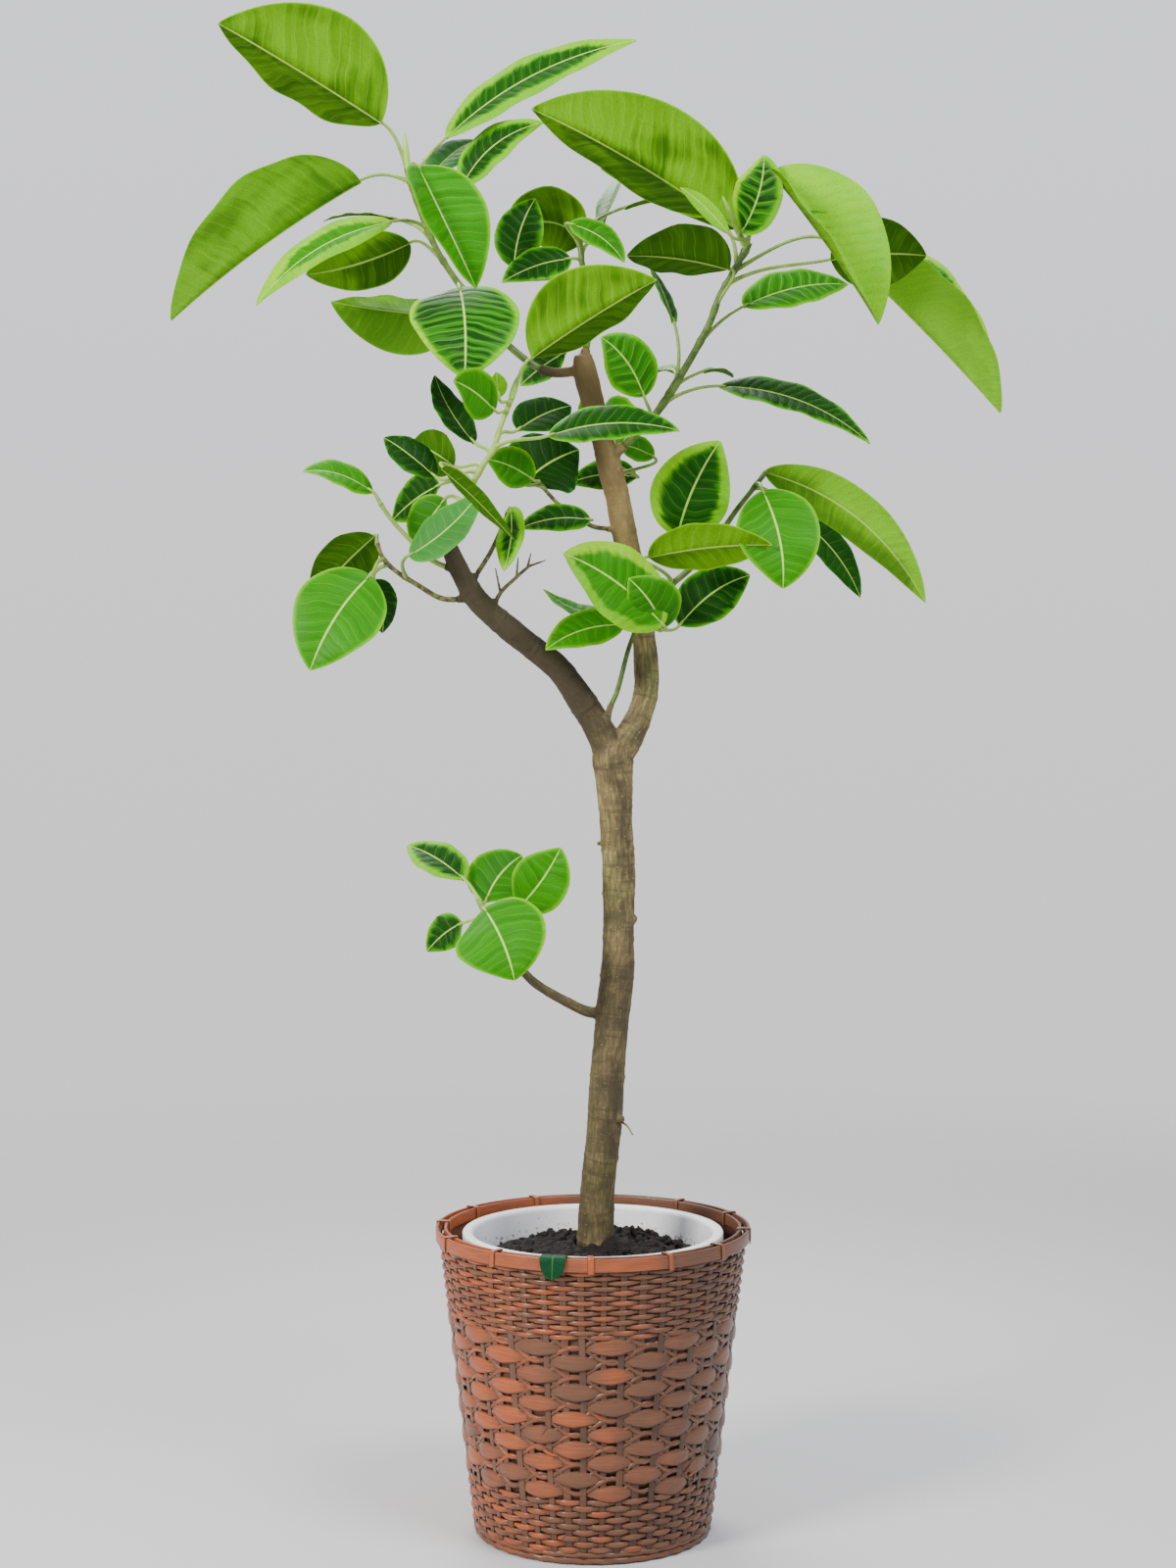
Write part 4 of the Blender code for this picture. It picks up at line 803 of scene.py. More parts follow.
def leaf_material(name, look, under):
    """Fig leaf: the upper face has a waxy cuticle, glossy and saturated; the underside is matter
    and yellower, with standing veins. Its colour patches run along the side veins."""
    material, shader, node = new_material(
        name, Roughness=0.65 if under else 0.48, IOR=1.45,
        Specular_IOR_Level=0.04 if under else 0.1, Subsurface_Weight=0.2,
        Subsurface_Scale=1.6 * MM, Subsurface_Radius=(0.7, 1.0, 0.2))
    place = node("attribute", attribute_name="blade_mm")
    across, along, edge = node("split", place)
    dark, margin, pale = node("split", node("attribute", attribute_name="blade_tone"))
    stripes, yellow, shaded = node("split", node("attribute", attribute_name="blade_marks"))
    reach = node("ABSOLUTE", across)
    # A side vein leaves the midrib and leans to the tip: along less a share of across is fixed.
    vein = node("MULTIPLY_ADD", reach, -0.5, along)
    vein = node("MULTIPLY_ADD", mottled(node, place, 45.0, 1.0), 16.0, vein)
    lane = node("join", node("DIVIDE", vein, 6.0), node("DIVIDE", reach, 60.0),
                node("MULTIPLY", node("SIGN", across), 5.0))
    streak = node("noise", lane, 1.0, 2.0, 0.5)
    broad_streak = node("noise", lane, 0.6, 1.0, 0.5)
    streaked = node("SUBTRACT", streak, 0.5)
    # Side veins: how far the point is from the nearest one, as a share of their spacing.
    share = node("FRACT", node("DIVIDE", vein, look.vein_spacing))
    to_vein = node("SUBTRACT", 0.5, node("ABSOLUTE", node("SUBTRACT", share, 0.5)))
    # How deep the lime reaches in from the edge, in millimetres.
    slow = mottled(node, place, 34.0, 1.0)
    depth = node("MULTIPLY", margin, node("MULTIPLY_ADD", slow, 34.0, 9.0))
    uneven = node("MULTIPLY_ADD", margin, 14.0, 1.5)
    depth = node("MULTIPLY_ADD", streaked, uneven, depth)
    depth = node("MULTIPLY_ADD", mottled(node, place, 7.0, 2.0), 1.2, depth)
    inside = node("SUBTRACT", edge, depth)
    green_share = node("ease", inside, -2.4, 4.0)
    inner = node("MULTIPLY_ADD", node("SUBTRACT", broad_streak, 0.5), -20.0, inside)
    dark_share = node("MULTIPLY", node("ease", inner, 0.0, 7.0), dark)
    patch = mottled(node, place, 60.0, 2.0, 0.5, (1, 0.7, 1))
    patch = node("MULTIPLY_ADD", streaked, 0.35, patch)
    # Across is positive on the half that lies higher, which is painted a little yellower, as
    # painted sunlight falls on it.
    patch = node("ADD", patch, node("ease", across, -9.0, 9.0, -0.09, 0.09))
    yellow_and_sunlight = node("MULTIPLY", node("ease", patch, 0.4, 0.66), yellow)
    if under:
        # Painted shade and light on the underside: the leaf's shade value, in part its own tone and
        # in part painted shade, darkens it, more in broad streaks and beside the midrib; below zero
        # it paints sunlight there.
        shade = node("MULTIPLY_ADD", node("ease", broad_streak, 0.36, 0.66), 0.5, shaded)
        shade = node("ADD", shade, node("ease", reach, 1.0, 18.0, 0.25, 0.0))
        colour = node("mix", node("SUBTRACT", shade, 0.25), look.olive, look.deep)
        # Its pale patches take the sunlit colour: in part the real yellow patches, in part painted
        # light through the blade.
        yellow_and_sunlight = node("SUBTRACT", yellow_and_sunlight, node("MINIMUM", shaded, 0.0))
        colour = node("mix", node("MULTIPLY", yellow_and_sunlight, 0.85), colour, look.sunlit)
        edging = node("MULTIPLY", node("ease", edge, 0.4, 2.4, 0.7, 0.0),
                      node("ease", margin, -0.1, 0.2))
        colour = node("mix", edging, colour, look.sunlit)
    else:
        lime = node("mix", yellow_and_sunlight, look.lime, look.yellow)
        green = node("mix", node("ease", broad_streak, 0.3, 0.75), look.middle,
                     [part * 0.65 for part in look.middle])
        colour = node("mix", green_share, lime, green)
        colour = node("mix", dark_share, colour, look.dark)
        band = node("ease", node("MULTIPLY_ADD", to_vein, -0.5, streak), 0.28, 0.46)
        band = node("MULTIPLY", node("MULTIPLY", band, stripes), green_share)
        colour = node("mix", node("MULTIPLY", band, 0.75), colour, look.middle)
    # Painted sheen: the pale bluish colour that the third tone mixes in stands for the gloss
    # reflecting the pale sky.
    colour = node("mix", node("MULTIPLY", pale, 0.8), colour, look.pale)
    fine = mottled(node, place, 2.2, 4.0, 0.65)
    colour = node("mix", node("ease", fine, 0.35, 0.75, 0.0, 0.3), colour,
                  [part * 0.45 for part in look.middle])
    fade = node("ease", edge, 1.0, 10.0)
    to_vein = node("MULTIPLY", to_vein, look.vein_spacing)
    line = node("MULTIPLY", node("ease", to_vein, 0.1, 0.8, 1.0, 0.0), fade)
    strength = 0.1 if under else node("MULTIPLY_ADD", stripes, 0.14, 0.06)
    colour = node("mix", node("MULTIPLY", line, strength), colour, look.rib)
    rib_width = node("ease", edge, 0.0, 40.0, 0.2, 0.95)
    rib = node("ease", node("SUBTRACT", reach, rib_width), -0.4, 0.5, 1.0, 0.0)
    colour = node("mix", node("MULTIPLY", rib, 0.7 if under else 0.85), colour, look.rib,
                  to=shader["Base Color"])
    if not under:
        # A leaf that has dropped is marked by a shade over 1, and its green has gone cold.
        node("mix", node("SUBTRACT", shaded, 1.0), colour, look.fallen, to=shader["Base Color"])
    quilt = node("MULTIPLY", node("ease", to_vein, 0.0, look.vein_spacing * 0.5), fade)
    if under:
        quilt = node("SUBTRACT", 1.0, quilt)
    quilted = node("bump", quilt, 0.6 * MM, 0.3 if under else 0.5)
    node("bump", fine, 0.12 * MM, 0.5, quilted, to=shader["Normal"])
    return material


def stem_material(look):
    """Young green stem: smooth and a little waxy, with fine length lines."""
    material, shader, node = new_material("young_green_stem", Roughness=0.42, IOR=1.45)
    place = node("place")
    age = node("split", node("attribute", attribute_name="stem_tone"))[0]
    patch = mottled(node, place, 12 * MM)
    age = node("MULTIPLY_ADD", node("SUBTRACT", patch, 0.5), 0.9, age)
    node("mix", age, look.stem, look.ripe, to=shader["Base Color"])
    lines = mottled(node, place, 1.6 * MM, 2.0, 0.5, (1, 1, 0.15))
    node("bump", lines, 0.3 * MM, 0.5, to=shader["Normal"])
    return material


def twig_material(look):
    """Thin dark bark on the woody base of a shoot."""
    material, shader, node = new_material("twig_bark", Roughness=0.7, IOR=1.45)
    patch = mottled(node, node("place"), 6 * MM, 4.0)
    node("mix", node("ease", patch, 0.35, 0.7), look.twig, look.green, to=shader["Base Color"])
    node("bump", patch, 0.6 * MM, 0.6, to=shader["Normal"])
    return material


def sheath_material(look):
    """The papery sheath round a new leaf: pale lime with length lines."""
    material, shader, node = new_material("leaf_sheath", Roughness=0.45, IOR=1.45)
    lines = mottled(node, node("place"), 2.2 * MM, 3.0, 0.5, (1, 1, 0.12))
    node("mix", lines, look.rib, look.lime, to=shader["Base Color"])
    node("bump", lines, 0.3 * MM, 0.5, to=shader["Normal"])
    return material


def bark_material(look):
    """Smooth fig bark: tan and grey-brown, greenish in long patches, with darker rings where leaves
    once grew, short pale breathing pores lying across the stem, and fine length cracks."""
    material, shader, node = new_material("fig_bark", Roughness=0.78, IOR=1.45)
    place = node("attribute", attribute_name="bark_mm")
    around, along, _ = node("split", place)
    mottle = mottled(node, place, 22.0, 5.0, 0.6, (1, 0.6, 0))
    colour = node("mix", node("ease", mottle, 0.34, 0.66), look.deep, look.lit)
    moss = mottled(node, place, 60.0, 3.0, 0.5, (1, 0.35, 0))
    colour = node("mix", node("ease", moss, 0.45, 0.72, 0.0, 0.65), colour, look.green)
    cracks = mottled(node, place, 3.0, 5.0, 0.62, (1, 0.16, 0))
    colour = node("mix", node("ease", cracks, 0.42, 0.62, 0.55, 0.0), colour,
                  [part * 0.45 for part in look.deep])
    rings = mottled(node, place, 7.0, 4.0, 0.6, (0.10, 1, 0))
    colour = node("mix", node("ease", rings, 0.36, 0.46, 0.5, 0.0), colour,
                  [part * 0.6 for part in look.deep])
    # A pore lies in a cell that is 9 mm wide and 6 mm high, and only some cells have one.
    flat = node("join", node("DIVIDE", around, 9.0), node("DIVIDE", along, 6.0))
    pores = node("cells", flat, 1.0, 1.0)
    picked = node("channels", pores["Color"])[0]
    pore = node("MULTIPLY", node("ease", pores["Distance"], 0.06, 0.2, 1.0, 0.0),
                node("ease", picked, 0.62, 0.75))
    colour = node("mix", node("MULTIPLY", pore, 0.4), colour, linear("#b39a72"))
    # Painted shade: the lower trunk and the left limb are darkened where shade falls on them, and
    # the leader's bark is pale.
    right, _, up = node("split", node("place"))
    limb_shade = node("MULTIPLY", node("ease", right, -0.01, 0.04, 0.94, 0.0),
                node("ease", up, 0.77, 0.82))
    low = node("ease", up, 0.56, 0.72, 0.56, 0.0)
    colour = node("mix", node("MAXIMUM", limb_shade, low), colour, [part * 0.48 for part in look.deep])
    leader = node("MULTIPLY", node("ease", right, -0.05, -0.02),
                  node("ease", up, 0.93, 1.0, 0.0, 0.4))
    node("mix", leader, colour, linear("#ab8c58"), to=shader["Base Color"])
    rough = node("MULTIPLY_ADD", pore, 0.6, node("MULTIPLY", cracks, 0.9))
    lower = node("bump", rough, 0.6 * MM, 0.7)
    node("bump", rings, 0.8 * MM, 0.5, lower, to=shader["Normal"])
    return material


def splint_material(name, look, bright):
    """Stained and varnished willow or bamboo splint: satin, with fibres along it, and no two
    splints quite the same colour. Painted light makes it lighter where it bows out and on the side
    that faces the key light; painted shade darkens its edges."""
    material, shader, node = new_material(name, Roughness=0.5, IOR=1.5, Specular_IOR_Level=0.22,
                                          Coat_Weight=0.4, Coat_Roughness=0.16)
    place = node("attribute", attribute_name="splint_mm")
    border = node("ABSOLUTE", node("split", place)[1])
    shade, bowed, half = node("split", node("attribute", attribute_name="splint_tone"))
    fibres = mottled(node, place, 1.1, 4.0, 0.65, (0.035, 1, 1))
    # Painted light: the splints are warmer and lighter on the side of the basket that faces the key
    # light.
    lit_side = node("dot", node("place"), (-5.0, -1.5, 0.0))
    light = node("MULTIPLY_ADD", shade, 0.6, mottled(node, place, 55.0, 3.0, 0.55, (1, 0.6, 3)))
    # Painted light: a splint is lighter where it bows out over a stake.
    light = node("MULTIPLY_ADD", bowed, 0.3, light)
    light = node("ADD", light, node("MULTIPLY", lit_side, 0.5))
    colour = node("mix", node("ease", light, 0.95 - bright, 1.65 - bright), look.brown,
                  look.orange)
    # Where the light value is low the splint turns to the dark colour: for a dark splint its own
    # tone, and painted shade on the side away from the key light, where it passes under, and on
    # stakes and inner layer.
    dark_tone_and_shade = node("ease", light, 0.3 - bright, 0.8 - bright, 0.75, 0.0)
    grain = node("ease", fibres, 0.38, 0.62, 0.35, 0.0)
    # Painted shade darkens each splint towards its edges.
    edge_shade = node("ease", node("DIVIDE", border, half), 0.7, 0.98, 0.0, 0.7)
    colour = node("mix", grain, node("mix", dark_tone_and_shade, colour, look.shade), look.shade)
    node("mix", edge_shade, colour, look.shade, to=shader["Base Color"])
    node("bump", fibres, 0.4 * MM, 0.6, to=shader["Normal"])
    return material


def plastic_material(look):
    """Injection-moulded polypropylene: satin white, with faint flow marks and dust of soil."""
    material, shader, node = new_material("moulded_white_plastic", Roughness=0.34, IOR=1.49)
    place = node("place")
    specks = mottled(node, place, 4.5 * MM, 5.0, 0.7)
    low = node("ease", node("split", place)[2], (SOIL_TOP - 6) * MM, (SOIL_TOP + 26) * MM, 0.5,
               0.64)
    dirt = node("ease", node("SUBTRACT", specks, low), 0.0, 0.05, 0.0, 0.7)
    flow = mottled(node, place, 50 * MM, 2.0)
    colour = node("mix", node("ease", flow, 0.3, 0.7, 0.0, 0.2), look.white, linear("#d5dbe8"))
    node("mix", dirt, colour, look.chip, to=shader["Base Color"])
    node("bump", mottled(node, place, 0.9 * MM, 2.0), 0.05 * MM, 0.4, to=shader["Normal"])
    return material


def soil_material(look):
    """Damp potting soil: crumbs of peat and composted bark, near black, some chips drier."""
    material, shader, node = new_material("damp_potting_soil", Roughness=0.9, IOR=1.4)
    dry = node("split", node("attribute", attribute_name="chip_tone"))[0]
    crumbs = mottled(node, node("place"), 4 * MM, 5.0, 0.7)
    colour = node("mix", node("ease", crumbs, 0.42, 0.72, 0.0, 0.6), look.soil, look.chip)
    node("mix", dry, colour, look.chip, to=shader["Base Color"])
    node("bump", crumbs, 1.2 * MM, 0.9, to=shader["Normal"])
    return material


def outline_share(s):
    """Half the blade's width at a share s of its length: blunt base, broad middle, drawn tip. It
    is s to one power times the rest to another, over the same product where that is widest."""
    rise, fall = 0.62, 0.86
    widest = rise / (rise + fall)
    return (s / widest) ** rise * ((1 - s) / (1 - widest)) ** fall


def midrib(base, tip, bend, shares):
    """The midrib as a parabola from base to tip whose middle stands off the chord by `bend`."""
    corner = (base + tip) / 2 + 2 * bend
    s = shares[:, None]
    line = (1 - s) ** 2 * base + 2 * s * (1 - s) * corner + s**2 * tip
    return line, unit(2 * (1 - s) * (corner - base) + 2 * s * (tip - corner))


def blade_faces(directions, roll):
    """The upper face's direction and the blade's sideways direction along the midrib."""
    viewer = np.array([0.0, -1.0, 0.0])
    front = unit(viewer - directions * (directions @ viewer)[:, None])
    upward = np.cross(directions, front)
    if upward[len(upward) // 2, 2] < 0:
        upward = -upward
    turn = math.radians(roll)
    normals = math.cos(turn) * front + math.sin(turn) * upward
    return normals, np.cross(normals, directions)


def folded(normals, across, c, roll, folds):
    """The blade's upward and sideways directions, turned about the midrib by each half's fold,
    with an eased bend over the strip beside the midrib."""
    left, right = folds if math.cos(math.radians(roll)) >= 0 else reversed(folds)
    share = softened(np.clip(0.5 + c / 0.3, 0, 1))
    turn = np.radians((left + right) * share - right)[..., None]
    up, aside = normals[:, None], across[:, None]
    return np.cos(turn) * up - np.sin(turn) * aside, np.cos(turn) * aside + np.sin(turn) * up


def wrapped(upper, lower):
    """Rings round a blade: each row of the upper face, and back along the row under it."""
    return np.concatenate([upper, lower[:, ::-1]], axis=1)


def blade_slots(count):
    """The material of each face round a blade's ring: the upper face's, then the underside's."""
    return np.concatenate([np.zeros(count - 1), np.ones(count + 1)]).astype(int)


def blade_surface(base, tip, width, roll, bend, folds, seed, rows):
    """A leaf blade as rings over its upper face and back under it.

    At a share s of the length and a share c of the half width, the upper face stands off the
    midrib by the fold times |c| less the curl times c squared, plus a slow wave that grows to
    the edge. The underside lies a thickness lower, thicker at the midrib, thin at the rim.
    """
    reach = np.linalg.norm(tip - base) + 1.6 * np.linalg.norm(bend)
    rows = max(14, int(rows * min(1.0, reach / FULL_BLADE)))
    count = 21 if width > NARROW_BLADE else 13
    shares = 0.5 - 0.5 * np.cos(np.linspace(0.06, math.pi - 0.05, rows))
    line, directions = midrib(base, tip, bend, shares)
    half = 0.5 * width * outline_share(shares)[:, None]
    c = np.sin(np.linspace(-math.pi / 2, math.pi / 2, count))[None]
    normals, across = blade_faces(directions, roll)
    up, aside = folded(normals, across, c, roll, folds)
    s = shares[:, None]
    flat = np.sqrt(c**2 + 0.004) - math.sqrt(0.004)
    # Between 2.2 and 3.8 waves run along the edge, and no two leaves begin alike.
    waves = 2.2 + 1.6 * ((seed * 0.37) % 1)
    phase = seed * 1.7
    wave = EDGE_WAVE * c**2 * np.sin(2 * math.pi * waves * s + phase + 1.3 * np.sign(c))
    rise = half * (LEAF_FOLD * flat - LEAF_CURL * c**2 + wave)
    side = half * c
    groove = GROOVE_DEPTH * np.exp(-((side / GROOVE_WIDTH) ** 2)) * (1 - s)
    upper = line[:, None] + side[..., None] * aside + (rise - groove)[..., None] * up
    rib = MIDRIB_DEPTH * (1 - 0.85 * s) * np.exp(-((side / MIDRIB_WIDTH) ** 2))
    deep = BLADE_THICKNESS * (1 - 0.75 * c**8) + rib - groove
    lower = upper - deep[..., None] * up
    higher = np.sign(aside[rows // 2, -1, 2] + 1e-6)
    place = columns(side * higher, s * reach + seed * PATTERN_STEP, half * (1 - np.abs(c)))
    return wrapped(upper, lower), blade_slots(count), wrapped(place, place)


def stalk_line(root, base, first_step, base_step):
    """A leaf stalk as a cubic Bezier curve from the stem's axis to the blade's base, bending into
    the midrib, and a little way on inside the blade."""
    reach = np.linalg.norm(base - root)
    leave = root + unit(first_step) * reach * 0.4
    arrive = base - base_step * reach * 0.35
    t = np.linspace(0, 1, 13)[:, None]
    line = ((1 - t) ** 3 * root + 3 * t * (1 - t) ** 2 * leave
            + 3 * t**2 * (1 - t) * arrive + t**3 * base)
    return np.vstack([line, base + base_step * 3.0, base + base_step * 7.0])


def shoot_axis(shoot):
    """The shoot's axis, where its woody spur is cut, and the axis of the green stem beyond."""
    line = smooth_line([seen(*point) for point in shoot["axis"]], 160)
    whole = length_of(line)
    cut = shoot["spur"] / whole
    shares = np.linspace(cut, 1, max(10, int(whole / 5)))
    stem = np.array([point_at(line, share)[0] for share in shares])
    return line, whole, cut, shares, stem


def stem_radius(shoot, shares):
    """A shoot's radius, which changes evenly along it."""
    root, tip = shoot["radii"]
    return root + (tip - root) * np.asarray(shares)


def stem_point(stem, shares, at):
    """The point and direction at a share of the shoot's whole length, at least a little way
    along its green stem, which begins at the first of its shares."""
    start = shares[0]
    return point_at(stem, (max(at, start + 0.04) - start) / (1 - start))


def build_shoot(name, shoot, look, first_seed):
    """One shoot's stem, with a ring at each leaf's node, and its stalks, blades and sheath."""
    _, whole, _, shares, stem = shoot_axis(shoot)
    work = Patchwork()
    radii = stem_radius(shoot, shares)
    for at, *_ in shoot["leaves"]:
        ring = np.exp(-(((shares - at) * whole / NODE_LENGTH) ** 2))
        radii = radii * (1 + NODE_SWELL * ring)
    stem[0] += CLEARANCE * unit(stem[1] - stem[0])
    tone = np.array([STEM_TONES[name], 0, 0])
    work.add(tube(stem, radii, 14), TWIG if name in WOODY_TWIGS else STEM, stem_tone=tone)
    for number, (at, base, tip, width, roll, bend, marks, *folds) in enumerate(shoot["leaves"]):
        base, tip = seen(*base), seen(*tip)
        bend = np.array([bend[0], -bend[2], bend[1]], float)
        folds = folds[0] if folds else (0, 0)
        ring, slots, places = blade_surface(base, tip, width, roll, bend, folds,
                                            first_seed + number, look.rows)
        work.add(ring, slots, blade_mm=places, blade_tone=LOOKS[marks][:3],
                 blade_marks=LOOKS[marks][3:])
        root, along = stem_point(stem, shares, at)
        _, steps = midrib(base, tip, bend, np.array([0.0]))
        line = stalk_line(root, base, unit(base - root) + 0.6 * along, steps[0])
        t = np.linspace(0, 1, len(line))
        thick = PETIOLE_RADIUS * (1 - 0.3 * t + 0.35 * np.exp(-((t / 0.12) ** 2)))
        thick[-1] *= 0.5
        work.add(tube(line, thick, 10), STEM, stem_tone=0.4 * tone)
    for at, tip in shoot.get("prongs", []):
        root, _ = stem_point(stem, shares, at)
        prong = np.linspace(root, seen(*tip), 7)
        work.add(tube(prong, PRONG_RADIUS * np.linspace(1.3, 0.5, 7), 8), TWIG, stem_tone=tone)
    if name in SPEARS:
        root, _ = point_at(stem, 0.97)
        spear = np.linspace(root, seen(*SPEARS[name]), 16)
        t = np.linspace(0, 1, 16)
        shape = SPEAR_RADIUS * (0.95 + 0.15 * np.sin(3 * t)) * np.sqrt(1 - 0.985 * t**2)
        work.add(tube(spear, shape, 12), SHEATH)
    return work.mesh(name)


def woody(drawn, count):
    """A woody stem's axis and radius, read along its length, and rings round it."""
    points = [[*seen(x, z, near), radius] for x, z, near, radius in drawn]
    line = smooth_line(points, count)
    swell = 1 + 0.02 * np.sin(np.linspace(0, 34, count))
    return line[:, :3], line[:, 3] * swell


def vectors_of(mesh, name):
    """One vector, its place or its normal, for each point of a mesh."""
    flat = np.empty(len(mesh.vertices) * 3, np.float32)
    mesh.vertices.foreach_get(name, flat)
    return flat.reshape(-1, 3)


def build_wood():
    """All bark-covered stems as one skin.

    The tubes are joined by a voxel remesh, so that limbs run into the trunk in fillets. Each
    point then finds its nearest place on the stems' axes, and moves out by the bark's relief:
    a soft ridge at each old leaf scar, slow swellings, and fine grain.
    """
    axes = [woody(TRUNK, 150), woody(LEFT_LIMB, 80), woody(RIGHT_LIMB, 110), woody(LOW_BRANCH, 40)]
    for root, end, thick, thin in SCARS:
        if thick > 2:
            line = np.linspace(seen(*root), seen(*end), 8)
            axes.append((line, np.linspace(thick, thin, 8)))
    for shoot in SHOOTS.values():
        line, _, cut, _, _ = shoot_axis(shoot)
        shares = np.linspace(0, cut, 8)
        spur = np.array([point_at(line, share)[0] for share in shares])
        axes.append((spur, SPUR_COLLAR * stem_radius(shoot, shares)))
    work = Patchwork()
    for line, radii in axes:
        work.add(tube(line, radii, 28))
    rough = work.mesh("trunk_rough")
    holder = new_object("trunk_rough", rough)
    remesh = holder.modifiers.new("skin", "REMESH")
    remesh.mode = "VOXEL"
    remesh.voxel_size = SKIN_VOXEL * MM
    soften = holder.modifiers.new("soften", "SMOOTH")
    soften.factor = 0.5
    soften.iterations = 3
    graph = bpy.context.evaluated_depsgraph_get()
    skin = bpy.data.meshes.new_from_object(holder.evaluated_get(graph))
    bpy.data.objects.remove(holder)
    bpy.data.meshes.remove(rough)
    skin.name = "trunk"
    points = vectors_of(skin, "co") / MM
    around, along, thick = bark_places(points, axes)
    spot = columns(around, along, 0.0)
    scar = np.zeros(len(points))
    for place, high in BARK_RINGS:
        tilt = 1.5 * np.sin(around / 9 + place)
        scar += high * np.exp(-(((along % 700 - place + tilt) / 1.8) ** 2))
    grain = 1.0 * (lattice(points, 9.0, 4) - 0.5) + 0.5 * (lattice(points, 3.6, 5) - 0.5)
    cracks = 0.35 * (lattice(spot * [1, 0.15, 1], 2.4, 6) - 0.5)
    relief = np.clip(thick / 16, 0.25, 1) * (scar + grain + cracks)
    moved = (points + vectors_of(skin, "normal") * (SKIN_LOSS + relief)[:, None]) * MM
    skin.vertices.foreach_set("co", moved.astype(np.float32).ravel())
    add_layer(skin, "bark_mm", columns(around, along, thick))
    skin.update()
    skin.shade_smooth()
    return skin


def bark_places(points, axes):
    """For each point, how far round and along its nearest stem it lies, and how thick that is.
    The nearest stem is the one whose surface the point is closest to."""
    best = np.full(len(points), np.inf)
    around, along, thick = (np.zeros(len(points)) for _ in range(3))
    for number, (line, radii) in enumerate(axes):
        steps = unit(np.gradient(line, axis=0))
        walked = np.concatenate([[0], np.cumsum(np.linalg.norm(np.diff(line, axis=0), axis=1))])
        gaps = points[:, None] - line[None]
        index = np.argmin((gaps**2).sum(axis=-1), axis=1)
        gap = gaps[np.arange(len(points)), index]
        step = steps[index]
        past = (gap * step).sum(axis=-1)
        out = gap - past[:, None] * step
        near = np.abs(np.linalg.norm(gap, axis=1) - radii[index])
        side = unit(np.cross(step, [0.0, 1.0, 0.02]))
        other = np.cross(step, side)
        angle = np.arctan2((out * other).sum(axis=-1), (out * side).sum(axis=-1))
        closer = near < best
        best = np.where(closer, near, best)
        around = np.where(closer, angle * radii[index] + 200 * number, around)
        along = np.where(closer, walked[index] + past + 331 * number, along)
        thick = np.where(closer, radii[index], thick)
    return around, along, thick


def wall_radius(height):
    """The woven wall's mean outer radius at a height: straight sides that lean out upwards."""
    return BASKET_FOOT_RADIUS + (BASKET_TOP_RADIUS - BASKET_FOOT_RADIUS) * height / BASKET_HEIGHT


def woven(work, sides, angle, phase, middle, tall, seed, sway, thick, bow):
    """A splint woven all the way round: rings across it, each a flat oval that is bowed outwards.

    Its middle runs at the wall's mean radius plus its sway times an eased sine of the phase, so
    it lies over some stakes and behind the next.
    """
    over = np.tanh(1.7 * np.sin(phase)) / math.tanh(1.7)
    radius = wall_radius(middle) - WEAVE_INSET + sway * over
    turn = circle(sides)
    up = np.sin(turn)[None] * tall[:, None]
    bowed = (bow * (tall / tall.max()) ** 2)[:, None] * np.cos(turn)[None] ** 2
    out = radius[:, None] + np.cos(turn)[None] * thick / 2 + bowed
    angle = angle[:, None]
    grid = about_axis(out, angle, middle[:, None] + up)
    place = columns(angle * radius.mean() + seed * 97, up, seed * 13.0)
    span = np.floor((phase + math.pi / 2) / (2 * math.pi))[:, None]
    shade = np.sin(seed * 12.9898 + span * 78.233) * 43758.5453 % 1.0
    tone = columns(shade * 0.8, 0.5 + 0.5 * over[:, None], tall[:, None])
    work.add(grid, looped=True, splint_mm=place, splint_tone=tone)


def around_wall(steps, seed):
    """Directions round the wall, so many from stake to stake, and how far a row strays there."""
    angle = circle(steps * STAKES)
    return angle, 0.9 * np.sin(3 * angle + seed * 2.1) + 0.6 * np.sin(7 * angle + seed * 0.9)


def fine_row(work, row, height, half, seed):
    """A narrow splint that passes one stake at a time, a little fuller where it bows out."""
    angle, stray = around_wall(8, seed)
    phase = STAKES / 2 * angle + row * math.pi + 0.12 * stray
    tall = half * (0.88 + 0.12 * np.sin(phase))
    woven(work, 8, angle, phase, height + stray * half / 8, tall, seed,
          sway=1.2, thick=1.5, bow=0.9)


def broad_row(work, row, height, pitch, seed):
    """A broad splint that passes two stakes at a time, an almond where it bows out.

    Its half height falls by a power of the distance from the almond's middle, to a narrow edge
    where it turns behind.
    """
    angle, stray = around_wall(12, seed)
    phase = STAKES / 4 * angle + row * math.pi + 0.1 * stray
    away = np.arccos(np.clip(np.sin(phase), -1, 1)) / math.pi / 0.88
    tall = 0.63 * pitch * (0.13 + 0.87 * (1 - np.clip(away, 0, 1) ** 1.35))
    tall *= 1 + 0.07 * np.sin(5 * angle + seed * 1.3)
    woven(work, 12, angle, phase, height + stray, tall, seed, sway=1.55, thick=1.2, bow=1.0)


def crossing_row(work, row, height, pitch, seed):
    """Two thin splints that cross in the gaps between the almonds: each a wave from its broad
    row to the next one."""
    angle, stray = around_wall(8, seed)
    phase = STAKES / 4 * angle + row * math.pi + 0.1 * stray
    for side in (-1, 1):
        wave = height + stray + pitch * (0.5 + side * 0.56 * np.sin(phase))
        narrow = 2.9 + 0.4 * np.sin(9 * angle + seed)
        woven(work, 6, angle, 2 * phase - math.pi / 2 + side, wave, narrow, seed + 40 * side,
              sway=0.5, thick=1.3, bow=0.5)


